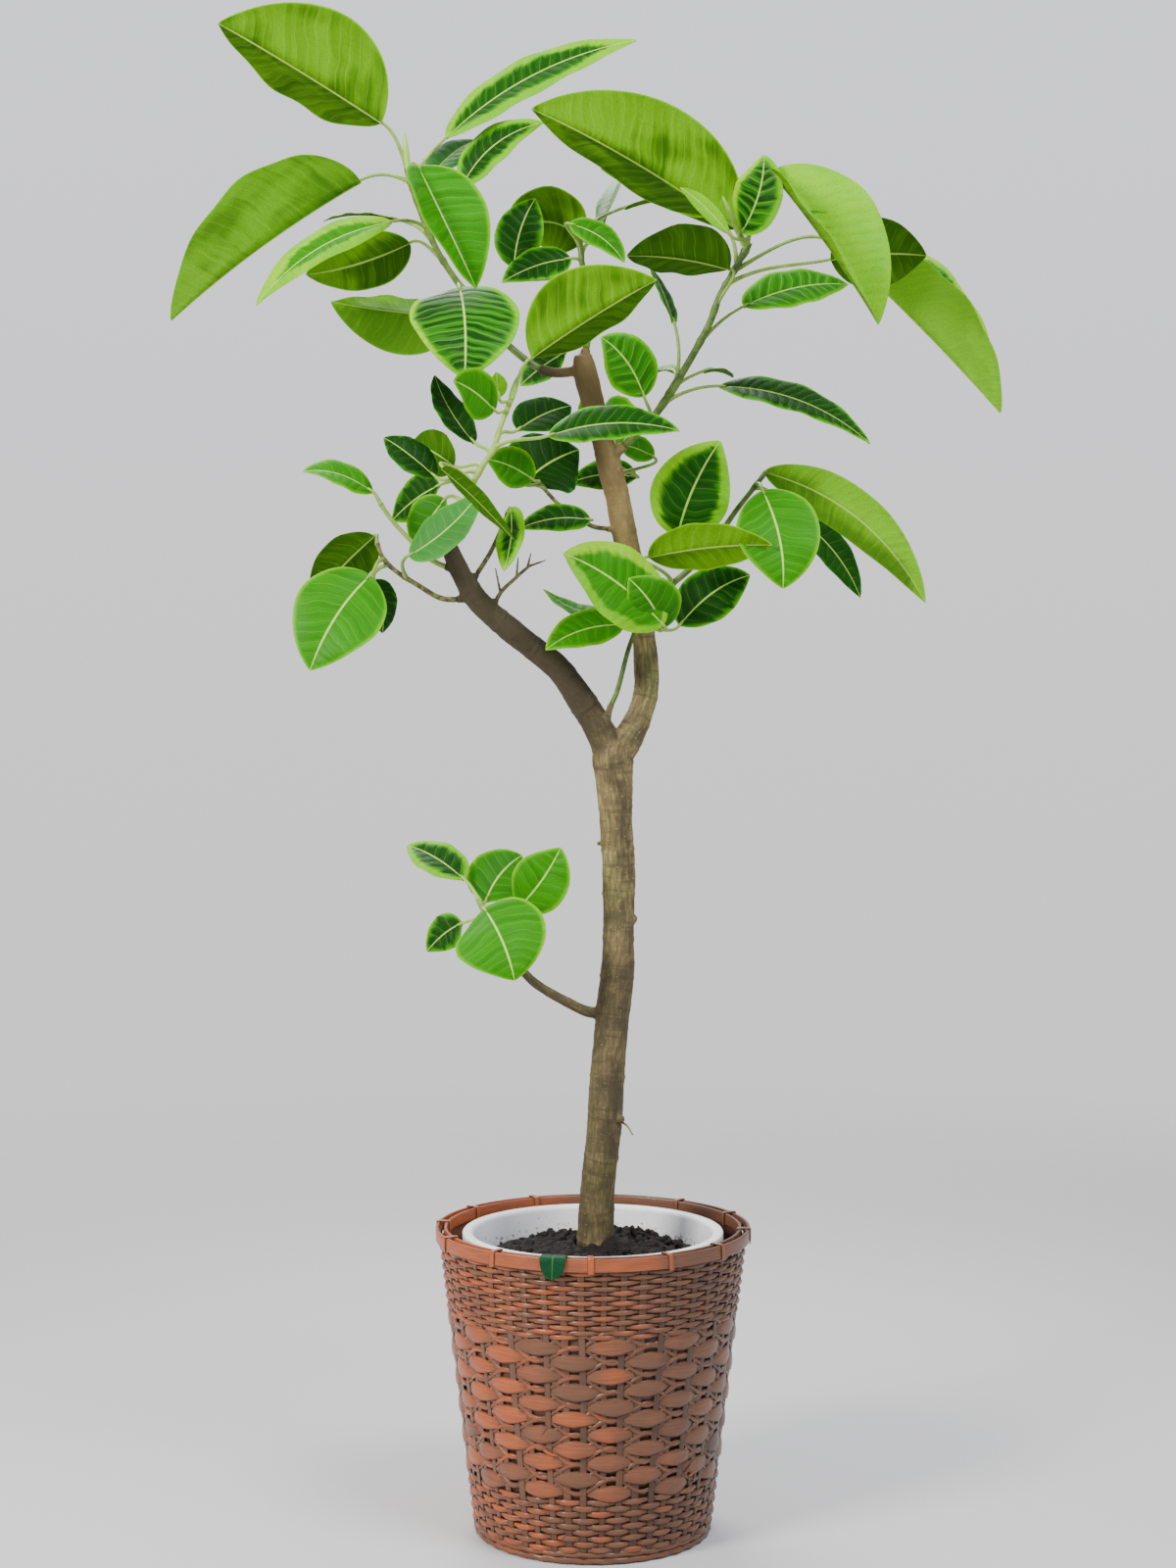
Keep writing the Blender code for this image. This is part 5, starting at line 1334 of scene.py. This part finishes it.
def stake_splints(work, low, high):
    """The upright stakes: flat ovals that stand at the wall's mean radius."""
    levels = np.linspace(low, high, 24)
    turn = circle(8)[:, None]
    for number in range(STAKES):
        angle = (number + 0.5) * 2 * math.pi / STAKES + 0.008 * math.sin(number * 2.3)
        half = 3.7 + 0.5 * math.sin(number * 1.7)
        out = np.array([math.cos(angle), math.sin(angle), 0])
        aside = np.array([-math.sin(angle), math.cos(angle), 0])
        drift = 0.7 * np.sin(levels / 37 + number)
        centre = (wall_radius(levels) - STAKE_INSET)[:, None] * out + levels[:, None] * [0, 0, 1]
        centre = centre + drift[:, None] * aside
        ring = 0.55 * np.cos(turn) * out + half * np.sin(turn) * aside
        place = columns(levels[:, None], half * np.sin(turn[:, 0]), number * 7.0)
        # The stakes' low tone is painted shade, for they stand behind the weave.
        work.add(centre[:, None] + ring[None], splint_mm=place, splint_tone=(-0.1, 0.0, half))


def inner_layer(work):
    """The inner layer of splints behind the weave: a thin cone, plain outside, whose inner face
    has a fine weave, each place raised by the product of a round row and an eased wave."""
    low = 7.0
    high = BASKET_HEIGHT - 6
    height = np.concatenate([[low, high], np.linspace(high, low, 120)])[:, None]
    inside = np.concatenate([[0.0, 0.0], np.ones(120)])[:, None]
    angle = circle(144)[None]
    row = np.floor(height / INNER_ROW)
    weave = 0.5 + 0.5 * np.sin(24 * angle + math.pi * row)
    rise = 0.35 + 0.6 * np.abs(np.sin(math.pi * height / INNER_ROW)) * weave
    radius = wall_radius(height) - INNER_INSET - inside * rise
    place = columns(angle * MEAN_RADIUS, height % INNER_ROW - INNER_ROW / 2, row * 9)
    # The outer face takes a low tone as painted shade, seen dark through the weave's gaps; the
    # inner face is a little lighter.
    tone = 0.2 * inside - 0.1
    work.add(about_axis(radius, angle, height), looped=True, splint_mm=place,
             splint_tone=columns(tone, tone, 4.6))


def sliver(work, degrees, height, length, lean, curl, seed):
    """A split end of splint that stands off the weave: a flat oval along a curling path, whose
    half width falls by the square of the share t of its length."""
    half, thin = 1.7, 0.35
    t = np.linspace(0, 1, 16)
    angle = math.radians(degrees) + t * length * math.cos(lean) / MEAN_RADIUS
    up = height + t * length * math.sin(lean) + curl * t**2
    path = about_axis(wall_radius(up) + 0.6 + 1.1 * np.sin(math.pi * t), angle, up)
    steps = unit(np.gradient(path, axis=0))
    out = unit(path * [1, 1, 0])
    aside = np.cross(steps, out)
    turn = circle(8)
    wide = (half * (1 - 0.75 * t**2))[:, None, None]
    ring = path[:, None] + thin * np.cos(turn)[:, None] * out[:, None] + (
        wide * np.sin(turn)[:, None] * aside[:, None])
    place = columns(t[:, None] * length + seed * 31, 1.5 * np.sin(turn), 0.0)
    work.add(ring, splint_mm=place, splint_tone=(0.2 + 0.8 * (seed % 2), 0.6, 2.4))


def foot_and_floor(work):
    """The turned-in foot: a rope of splint round the edge, and a floor of round rows that pass
    over and under the spokes, their lowest points on the surface that the basket stands on."""
    angle = circle(288)[:, None]
    turn = circle(12)[None]
    for number, (height, inset, thick) in enumerate(FOOT_ROPES):
        radius = BASKET_FOOT_RADIUS - inset
        rope = thick + 0.5 * np.sin(36 * angle + 2 * turn + number * math.pi)
        out = radius + np.cos(turn) * rope
        up = height + np.sin(turn) * rope
        place = columns(angle * radius, 4 * np.sin(turn), 5 + number)
        work.add(about_axis(out, angle, up), looped=True, splint_mm=place,
                 splint_tone=(0.35, 0.4, 6.5))
    angle = angle[::2].T
    radii = np.concatenate([[0.5], np.arange(3.0, BASKET_FOOT_RADIUS - 3, 2.0)])[:, None]
    weave = np.clip(np.sin(24 * angle + math.pi * np.floor(radii / FLOOR_ROW)), 0, 1)
    weave = 0.35 + 0.65 * weave * np.clip(radii / 20, 0, 1)
    low = 1.7 - 1.3 * np.abs(np.sin(math.pi * radii / FLOOR_ROW)) * weave
    inside = np.full((2, low.shape[1]), FLOOR_THICKNESS - 0.8)
    reach = np.concatenate([radii, radii[[-1, 0]]])
    place = columns(angle * 60, reach % FLOOR_ROW - FLOOR_ROW / 2, np.floor(reach / FLOOR_ROW))
    work.add(about_axis(reach, angle, np.concatenate([low, inside])), splint_mm=place,
             splint_tone=(0.3, 0.3, 4.4))


def build_basket_wall(look):
    """The wall's four meshes: its frame of stakes with the inner layer, the foot, the floor and
    the split ends; the fine rows at foot and top; the broad rows between; and what crosses
    there."""
    framework, fine, broad, crossing = (Patchwork() for _ in range(4))
    stake_splints(framework, 6.0, BASKET_HEIGHT - 1.5)
    inner_layer(framework)
    foot_and_floor(framework)
    for number, sizes in enumerate(SLIVERS):
        sliver(framework, *sizes, number)
    # A row's seed is its number from the foot, but for a jump where the broad rows begin.
    low = WEAVE_FOOT
    pitch = look.lower_zone / look.lower_rows
    for row in range(look.lower_rows):
        fine_row(fine, row, low + (row + 0.5) * pitch, pitch * FINE_SHARE, row)
    low += look.lower_zone
    pitch = look.broad_row
    for row in range(look.broad_rows):
        broad_row(broad, row, low + (row + 0.5) * pitch, pitch, row + 10)
        crossing_row(crossing, row, low + (row + 0.5) * pitch, pitch, row + 10)
    low += look.broad_rows * pitch
    pitch = (BASKET_HEIGHT - WEAVE_HEAD - low) / look.upper_rows
    for row in range(look.upper_rows):
        fine_row(fine, row, low + (row + 0.5) * pitch, pitch * FINE_SHARE, row + 21)
    return {
        "basket_stakes": framework.mesh("basket_stakes"),
        "basket_fine_weave": fine.mesh("basket_fine_weave"),
        "basket_broad_weave": broad.mesh("basket_broad_weave"),
        "basket_crossing_splints": crossing.mesh("basket_crossing_splints"),
    }


def add_hoop(work, inner, outer, low, high):
    """A flat hoop: a rounded oblong section turned about the pot's axis. The section is the
    cosine and the sine of an angle, each raised to a power below one."""
    turn = circle(24)
    mid = (inner + outer) / 2
    wide = (outer - inner) / 2
    tall = (high - low) / 2
    out = mid + wide * np.sign(np.cos(turn)) * np.abs(np.cos(turn)) ** HOOP_EASE
    up = (low + high) / 2 + tall * np.sign(np.sin(turn)) * np.abs(np.sin(turn)) ** (
        HOOP_EASE * 0.6)
    angle = circle(288)[:, None]
    place = columns(angle * mid, up - (low + high) / 2, inner)
    work.add(about_axis(out, angle, up), looped=True, splint_mm=place,
             splint_tone=(0.75, 0.5, tall + 1.5))


def build_rim():
    """The outer and inner hoop, and the splints that are folded over both to bind them."""
    top = BASKET_HEIGHT + HOOP_OVERHANG
    low = BASKET_HEIGHT - HOOP_LOW
    wall_out = BASKET_TOP_RADIUS + CLEARANCE
    wall_in = BASKET_TOP_RADIUS - WALL_THICKNESS - HOOP_INSET
    outer, inner = Patchwork(), Patchwork()
    add_hoop(outer, wall_out, wall_out + HOOP_THICKNESS, low, top)
    add_hoop(inner, wall_in - HOOP_THICKNESS, wall_in, low + 1, top)
    face = wall_out + HOOP_THICKNESS + 0.75
    back = wall_in - HOOP_THICKNESS - 1.1
    corner = np.array([(face - 0.9, low - 1.5), (face, low), (face, top - 0.8),
                       (face - 1.2, top + 0.9), (back + 1.2, top + 0.9), (back, top - 0.8),
                       (back, low + 2), (back + 0.9, low + 0.5)])
    path = smooth_line(columns(corner[:, 0], 0.0, corner[:, 1]), 60)
    steps = unit(np.gradient(path, axis=0))
    out = columns(steps[:, 2], 0.0, -steps[:, 0])
    turn = circle(16)
    for number, degrees in enumerate(TIE_ANGLES):
        wide = TIE_WIDTH + 0.3 * math.sin(number * 1.9)
        lean = 0.9 * np.sin(np.linspace(0, math.pi, 60) + number)
        ring = (path[:, None] + TIE_THICKNESS * np.cos(turn)[None, :, None] * out[:, None]
                + (wide * np.sin(turn)[None] + lean[:, None])[..., None] * [0, 1, 0])
        place = columns(np.linspace(0, TIE_LENGTH, 60)[:, None], wide * np.sin(turn), number * 11)
        outer.add(turned(ring, degrees), splint_mm=place, splint_tone=(0.95, 0.9, wide))
    return outer.mesh("basket_rim_outer"), inner.mesh("basket_rim_inner")


def build_pot():
    """The white pot: its section's corners rounded by a curve, turned about the pot's axis."""
    foot = POT_FOOT
    top = foot + POT_HEIGHT
    lip = POT_LIP_RADIUS
    inner = POT_TOP_RADIUS - POT_WALL
    outer_edge = np.linspace(0, 0.5 * math.pi, 9)
    inner_edge = np.linspace(0.5 * math.pi, math.pi, 11)
    # Up the outside from the drain hole, over the lip in two curves, and down the inside.
    section = np.vstack([
        [(POT_DRAIN_RADIUS, foot), (POT_FOOT_RADIUS - 1, foot), (POT_FOOT_RADIUS + 1.4, foot + 1.5),
         (POT_FOOT_RADIUS + 2, foot + 4), (POT_TOP_RADIUS, top - POT_LIP_HEIGHT),
         (lip - 2.2, top - POT_LIP_HEIGHT), (lip - 0.6, top - POT_LIP_HEIGHT + 1),
         (lip - 0.1, top - 9.0)],
        columns(lip - 2.6 + 2.6 * np.cos(outer_edge), top - 2.6 + 2.6 * np.sin(outer_edge)),
        columns(inner + 5.2 + 4.6 * np.cos(inner_edge), top - 5.0 + 5.0 * np.sin(inner_edge)),
        [(inner + 0.2, top - 9), (inner - 0.4, top - 20),
         (POT_FOOT_RADIUS - POT_WALL, foot + POT_WALL), (POT_DRAIN_RADIUS, foot + POT_WALL)],
    ])
    work = Patchwork()
    work.add(about_axis(section[:, :1], circle(180), section[:, 1:]), looped=True)
    mesh = work.mesh("inner_pot")
    mesh.set_sharp_from_angle(angle=math.radians(50))
    return mesh


def soil_height(x, y):
    """The soil's surface, as in the part's source: a low mound with lumps and one heap."""
    reach = np.hypot(x, y) / (POT_TOP_RADIUS - POT_WALL)
    lumps = np.sin(0.075 * x + 1.3) * np.cos(0.062 * y - 0.6) + 0.6 * np.sin(0.13 * (x + y))
    away = np.hypot(x - HEAP_PLACE[0], y - HEAP_PLACE[1]) / HEAP_SPREAD
    heap = HEAP_HEIGHT * np.exp(-away**2 / 2)
    return SOIL_TOP + SOIL_MOUND * (1 - reach**1.5) + SOIL_LUMP * lumps * reach + heap


def build_soil(look):
    """The soil's body, its top broken into crumbs, and loose chips of bark lying on it.

    A chip is a flattened ball whose radius is noise round one, turned by its own angles. All
    chips are worked out as one array of rings.
    """
    hole = TRUNK[0][3] * HOLE_SHARE
    radii = np.linspace(hole, SOIL_EDGE, 64)[:, None]
    angle = circle(240)
    skin = about_axis(radii, angle, 0.0)
    crumbs = sum(high * (lattice(skin, size, seed) - 0.5) for high, size, seed in CRUMBS)
    calm = np.clip((SOIL_EDGE - radii) / 14, 0.25, 1)
    skin[..., 2] = soil_height(skin[..., 0], skin[..., 1]) + crumbs * calm
    skin[0, :, 2] -= 4
    low = POT_FOOT + POT_WALL + CLEARANCE
    under = np.array([(SOIL_EDGE - 0.6, SOIL_TOP - 12), (SOIL_FOOT, low), (hole, low)])
    lower = about_axis(under[:, :1], angle, under[:, 1:])
    work = Patchwork()
    work.add(np.concatenate([skin, lower]), looped=True, chip_tone=np.zeros(3))
    chance = np.random.RandomState(11)
    count = look.chips
    # The chips are spread evenly over the ring between trunk and pot, and most are small.
    margin = 6.0
    reach = hole + margin + (SOIL_EDGE - hole - 2 * margin) * np.sqrt(chance.rand(count))
    turn = chance.rand(count) * 2 * math.pi
    size = 2.0 + 6.5 * chance.rand(count) ** 2.2
    spot = about_axis(reach, turn, 0.0)
    spot[:, 2] = soil_height(spot[:, 0], spot[:, 1]) + 2.6 * chance.rand(count)
    bands = np.linspace(0.25, math.pi - 0.25, 5)[:, None]
    ball = about_axis(np.sin(bands), circle(7), np.cos(bands))
    lumps = 1 + 0.5 * (chance.rand(count, 5, 7) - 0.5)
    shape = ball[None] * lumps[..., None] * size[:, None, None, None]
    shape = shape * columns(0.7 + 0.6 * chance.rand(count), 0.4 + 0.4 * chance.rand(count),
                            0.25 + 0.35 * chance.rand(count))[:, None, None]
    spin, tip = chance.rand(count) * 6.3, (chance.rand(count) - 0.5) * 1.8
    x, z = rolled(shape[..., 0], shape[..., 2], tip[:, None, None])
    x, y = rolled(x, shape[..., 1], spin[:, None, None])
    chips = columns(x, y, z) + spot[:, None, None]
    dry = np.clip(chance.rand(count) * 1.3 - 0.6, 0, 1)
    for chip, tone in zip(chips, dry):
        work.add(chip, chip_tone=(tone, 0, 0))
    return work.mesh("soil")


def build_caught_leaf():
    """The small dropped leaf bent over the rim: rings across a path that climbs the inner side,
    crosses the hoops and hangs down outside, each ring bowed like a fold."""
    top = BASKET_HEIGHT + HOOP_OVERHANG + 4 * CLEARANCE
    outer = BASKET_TOP_RADIUS + HOOP_THICKNESS + 6 * CLEARANCE + 0.6
    inner = BASKET_TOP_RADIUS - WALL_THICKNESS - HOOP_INSET - HOOP_THICKNESS - 8 * CLEARANCE
    path = smooth_line([
        (inner - 1.5, 0, top - CAUGHT_LEAF_INSIDE, 0.05), (inner - 0.8, 0, top - 12, 0.55),
        (inner, 0, top - 2.5, 0.85), (inner + 3.0, 0, top, 0.95), (outer - 3.0, 0, top, 1.0),
        (outer, 0, top - 2.5, 1.0), (outer + 0.8, 0, top - 9, 0.92),
        (outer + 1.6, 0, top - 16, 0.68), (outer + 2.0, 0, top - CAUGHT_LEAF_OUTSIDE, 0.05),
    ], 46)
    steps = unit(np.gradient(path[:, :3], axis=0))
    out = columns(-steps[:, 2], 0.0, steps[:, 0])
    c = np.linspace(-1, 1, 15)[None]
    half = CAUGHT_LEAF_WIDTH / 2 * path[:, 3:4]
    lift = 0.35 + 0.25 * c**2
    upper = (path[:, None, :3] + (half * c)[..., None] * np.array([0, 1, 0])
             + lift[..., None] * out[:, None])
    lower = upper - 0.5 * out[:, None]
    length = np.linspace(0, length_of(path), 46)[:, None]
    place = columns(half * c, length, half * (1 - np.abs(c)))
    work = Patchwork()
    work.add(turned(wrapped(upper, lower), CAUGHT_LEAF_ANGLE), blade_slots(15),
             blade_mm=wrapped(place, place), blade_tone=LOOKS["caught"][:3],
             blade_marks=LOOKS["caught"][3:])
    return work.mesh("caught_leaf")


def shared(name, make, *arguments):
    """A material made once and used by several pieces."""
    return bpy.data.materials.get(name) or make(*arguments)


def leaf_faces(look):
    """The materials of a blade's upper face and of its underside."""
    return [shared("leaf_upper_face", leaf_material, "leaf_upper_face", look, False),
            shared("leaf_underside", leaf_material, "leaf_underside", look, True)]


class TREE_OT_foliage(Operator):
    """Replace every leafy shoot with its finely modelled stems, stalks and blades"""

    bl_idname = "council_tree.foliage"
    bl_label = "Foliage"

    def execute(self, context):
        look, wood = context.scene.tree_leaf, context.scene.tree_wood
        materials = [
            *leaf_faces(look),
            shared("young_green_stem", stem_material, wood),
            shared("twig_bark", twig_material, wood),
            shared("leaf_sheath", sheath_material, look),
        ]
        seed = 1
        for name, shoot in SHOOTS.items():
            mesh = build_shoot(name, shoot, look, seed)
            show(name + "_foliage", mesh, materials, [name])
            seed += len(shoot["leaves"])
        return {"FINISHED"}


class TREE_OT_caught_leaf(Operator):
    """Replace the small leaf that has caught on the basket's rim"""

    bl_idname = "council_tree.caught_leaf"
    bl_label = "Caught leaf"

    def execute(self, context):
        materials = leaf_faces(context.scene.tree_leaf)
        show("caught_leaf_blade", build_caught_leaf(), materials, ["caught_leaf"])
        return {"FINISHED"}


class TREE_OT_trunk(Operator):
    """Replace the trunk and limbs with one bark skin, and add the dry shred on its old scar"""

    bl_idname = "council_tree.trunk"
    bl_label = "Trunk"

    def execute(self, context):
        wood = context.scene.tree_wood
        bark = shared("fig_bark", bark_material, wood)
        show("trunk_bark", build_wood(), [bark], ["trunk"])
        root, end, thick, thin = SCARS[SHRED_SCAR]
        root, end = seen(*root), seen(*end)
        line = smooth_line([root, (root + end) / 2 + [2, 0, 2], end], 14)
        work = Patchwork()
        work.add(tube(line, np.linspace(thick, thin, 14) * 0.8, 8))
        twig = shared("twig_bark", twig_material, wood)
        show("dry_shred", work.mesh("dry_shred"), [twig], [])
        return {"FINISHED"}


class TREE_OT_basket_wall(Operator):
    """Replace the basket's relief wall with real stakes and woven splints"""

    bl_idname = "council_tree.basket_wall"
    bl_label = "Basket wall"

    def execute(self, context):
        look = context.scene.tree_basket
        splint = shared("woven_splint", splint_material, "woven_splint", look, 0.0)
        for name, mesh in build_basket_wall(look).items():
            show(name, mesh, [splint], ["basket_wall"])
        return {"FINISHED"}


class TREE_OT_basket_rim(Operator):
    """Replace the two rim hoops and their ties"""

    bl_idname = "council_tree.basket_rim"
    bl_label = "Basket rim"

    def execute(self, context):
        look = context.scene.tree_basket
        band = shared("rim_band", splint_material, "rim_band", look, 0.12)
        outer, inner = build_rim()
        show("basket_outer_hoop", outer, [band], ["basket_rim_outer"])
        show("basket_inner_hoop", inner, [band], ["basket_rim_inner"])
        return {"FINISHED"}


class TREE_OT_inner_pot(Operator):
    """Replace the white pot with its smooth moulded form"""

    bl_idname = "council_tree.inner_pot"
    bl_label = "Inner pot"

    def execute(self, context):
        look = context.scene.tree_pot
        plastic = shared("moulded_white_plastic", plastic_material, look)
        show("white_pot", build_pot(), [plastic], ["inner_pot"])
        return {"FINISHED"}


class TREE_OT_soil(Operator):
    """Replace the soil with crumbled soil and bark chips"""

    bl_idname = "council_tree.soil"
    bl_label = "Soil"

    def execute(self, context):
        look = context.scene.tree_pot
        earth = shared("damp_potting_soil", soil_material, look)
        show("potting_soil", build_soil(look), [earth], ["soil"])
        return {"FINISHED"}


class TREE_OT_stage(Operator):
    """Add the pale floor, the soft studio lights and the camera at the photograph's angle"""

    bl_idname = "council_tree.stage"
    bl_label = "Stage"

    def execute(self, context):
        look = context.scene.tree_stage
        add_floor(look)
        add_backdrop(look)
        add_light("key_light", (-2.5, -2.3, 2.5), 1.1, look.key, (1.0, 0.95, 0.88))
        add_light("back_light", (-0.6, 2.2, 3.0), 1.6, look.back, (1.0, 1.0, 0.96))
        add_light("side_light", (1.5, -1.7, 3.4), 1.4, look.side, (0.95, 0.97, 1.0))
        add_camera()
        return {"FINISHED"}


def add_floor(look):
    """A round floor whose colour fades into the backdrop far from the object."""
    rings = np.array([(0.5, STUDIO_LOW), (STUDIO_RADIUS, STUDIO_LOW), (STUDIO_RADIUS, STUDIO_TOP),
                      (5.0, STUDIO_TOP), (0.5, STUDIO_TOP)])
    work = Patchwork()
    work.add(about_axis(rings[:, :1], circle(96), rings[:, 1:]))
    mesh = work.mesh("studio_floor")
    mesh.polygons.foreach_set("use_smooth", [False] * len(mesh.polygons))
    # Matt painted floor: its far part lets the backdrop through, so that no edge shows.
    material, shader, node = new_material("matt_studio_floor", Roughness=0.85)
    shader["Base Color"].default_value = (*look.floor, 1)
    node("ease", node("length", node("place")), 0.9, 3.2, 1.0, 0.0, to=shader["Alpha"])
    mesh.materials.append(material)
    floor = new_object("studio_floor", mesh)


def add_backdrop(look):
    """A backdrop of one grey below the horizon that turns faintly blue above it. The camera sees
    it at one strength, and it lights the object at another."""
    world = bpy.data.worlds.new("studio")
    bpy.context.scene.world = world
    world.use_nodes = True
    node = partial(add_node, world.node_tree)
    background = world.node_tree.nodes["Background"].inputs
    height = node("split", node("place", out="Generated"))[2]
    node("mix", node("ease", height, -0.12, 0.3), look.ground, look.sky, to=background["Color"])
    node("range", node("camera ray"), 0.0, 1.0, look.fill, look.glow, to=background["Strength"])


def add_light(name, place, size, power, tint):
    """A square soft light at a place in metres, aimed at the tree's middle."""
    lamp = bpy.data.lights.new(name, "AREA")
    lamp.size = size
    lamp.energy = power
    lamp.color = tint
    light = new_object(name, lamp)
    aim = np.array([0, 0, LIGHT_AIM * MM]) - np.array(place)
    light.location = place
    light.rotation_euler = (math.atan2(math.hypot(aim[0], aim[1]), -aim[2]), 0,
                            math.atan2(-aim[0], aim[1]))


def add_camera():
    """The camera at the elevation's eye, tilted down until the pot's foot is in view."""
    lens = bpy.data.cameras.new("photo_camera")
    lens.sensor_fit = "VERTICAL"
    lens.sensor_height = SENSOR_HEIGHT
    lens.lens = PIXELS_PER_UNIT / PHOTO_HEIGHT * SENSOR_HEIGHT
    camera = new_object("photo_camera", lens)
    camera.location = (EYE_ASIDE * MM, -EYE_DISTANCE * MM, EYE_HEIGHT * MM)
    camera.rotation_euler = (math.radians(90 - CAMERA_TILT), 0, 0)
    bpy.context.scene.camera = camera


class TREE_PT_panel(Panel):
    """Lists the pieces of the council tree"""

    bl_idname = "TREE_PT_panel"
    bl_label = "Council tree"
    bl_space_type = "VIEW_3D"
    bl_region_type = "UI"
    bl_category = "Council tree"

    def draw(self, context):
        for operator in OPERATORS:
            self.layout.operator(operator.bl_idname)
        for name, group in GROUPS.items():
            box = self.layout.box()
            for key in group.__annotations__:
                box.prop(getattr(context.scene, name), key)


OPERATORS = (TREE_OT_trunk, TREE_OT_foliage, TREE_OT_caught_leaf, TREE_OT_basket_wall,
             TREE_OT_basket_rim, TREE_OT_inner_pot, TREE_OT_soil, TREE_OT_stage)
GROUPS = {
    "tree_leaf": LeafLook,
    "tree_wood": WoodLook,
    "tree_basket": BasketLook,
    "tree_pot": PotLook,
    "tree_stage": StageLook,
}


def register():
    """Registers the add-on's classes, and gives the scene its looks."""
    for group in (*GROUPS.values(), *OPERATORS, TREE_PT_panel):
        bpy.utils.register_class(group)
    for name, group in GROUPS.items():
        setattr(bpy.types.Scene, name, PointerProperty(type=group))


def unregister():
    """Takes back what register gives."""
    for name in GROUPS:
        delattr(bpy.types.Scene, name)
    for group in reversed((*GROUPS.values(), *OPERATORS, TREE_PT_panel)):
        bpy.utils.unregister_class(group)


def main():
    """Registers the add-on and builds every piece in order."""
    register()
    for operator in OPERATORS:
        group, name = operator.bl_idname.split(".")
        getattr(getattr(bpy.ops, group), name)()


if __name__ == "__main__":
    main()
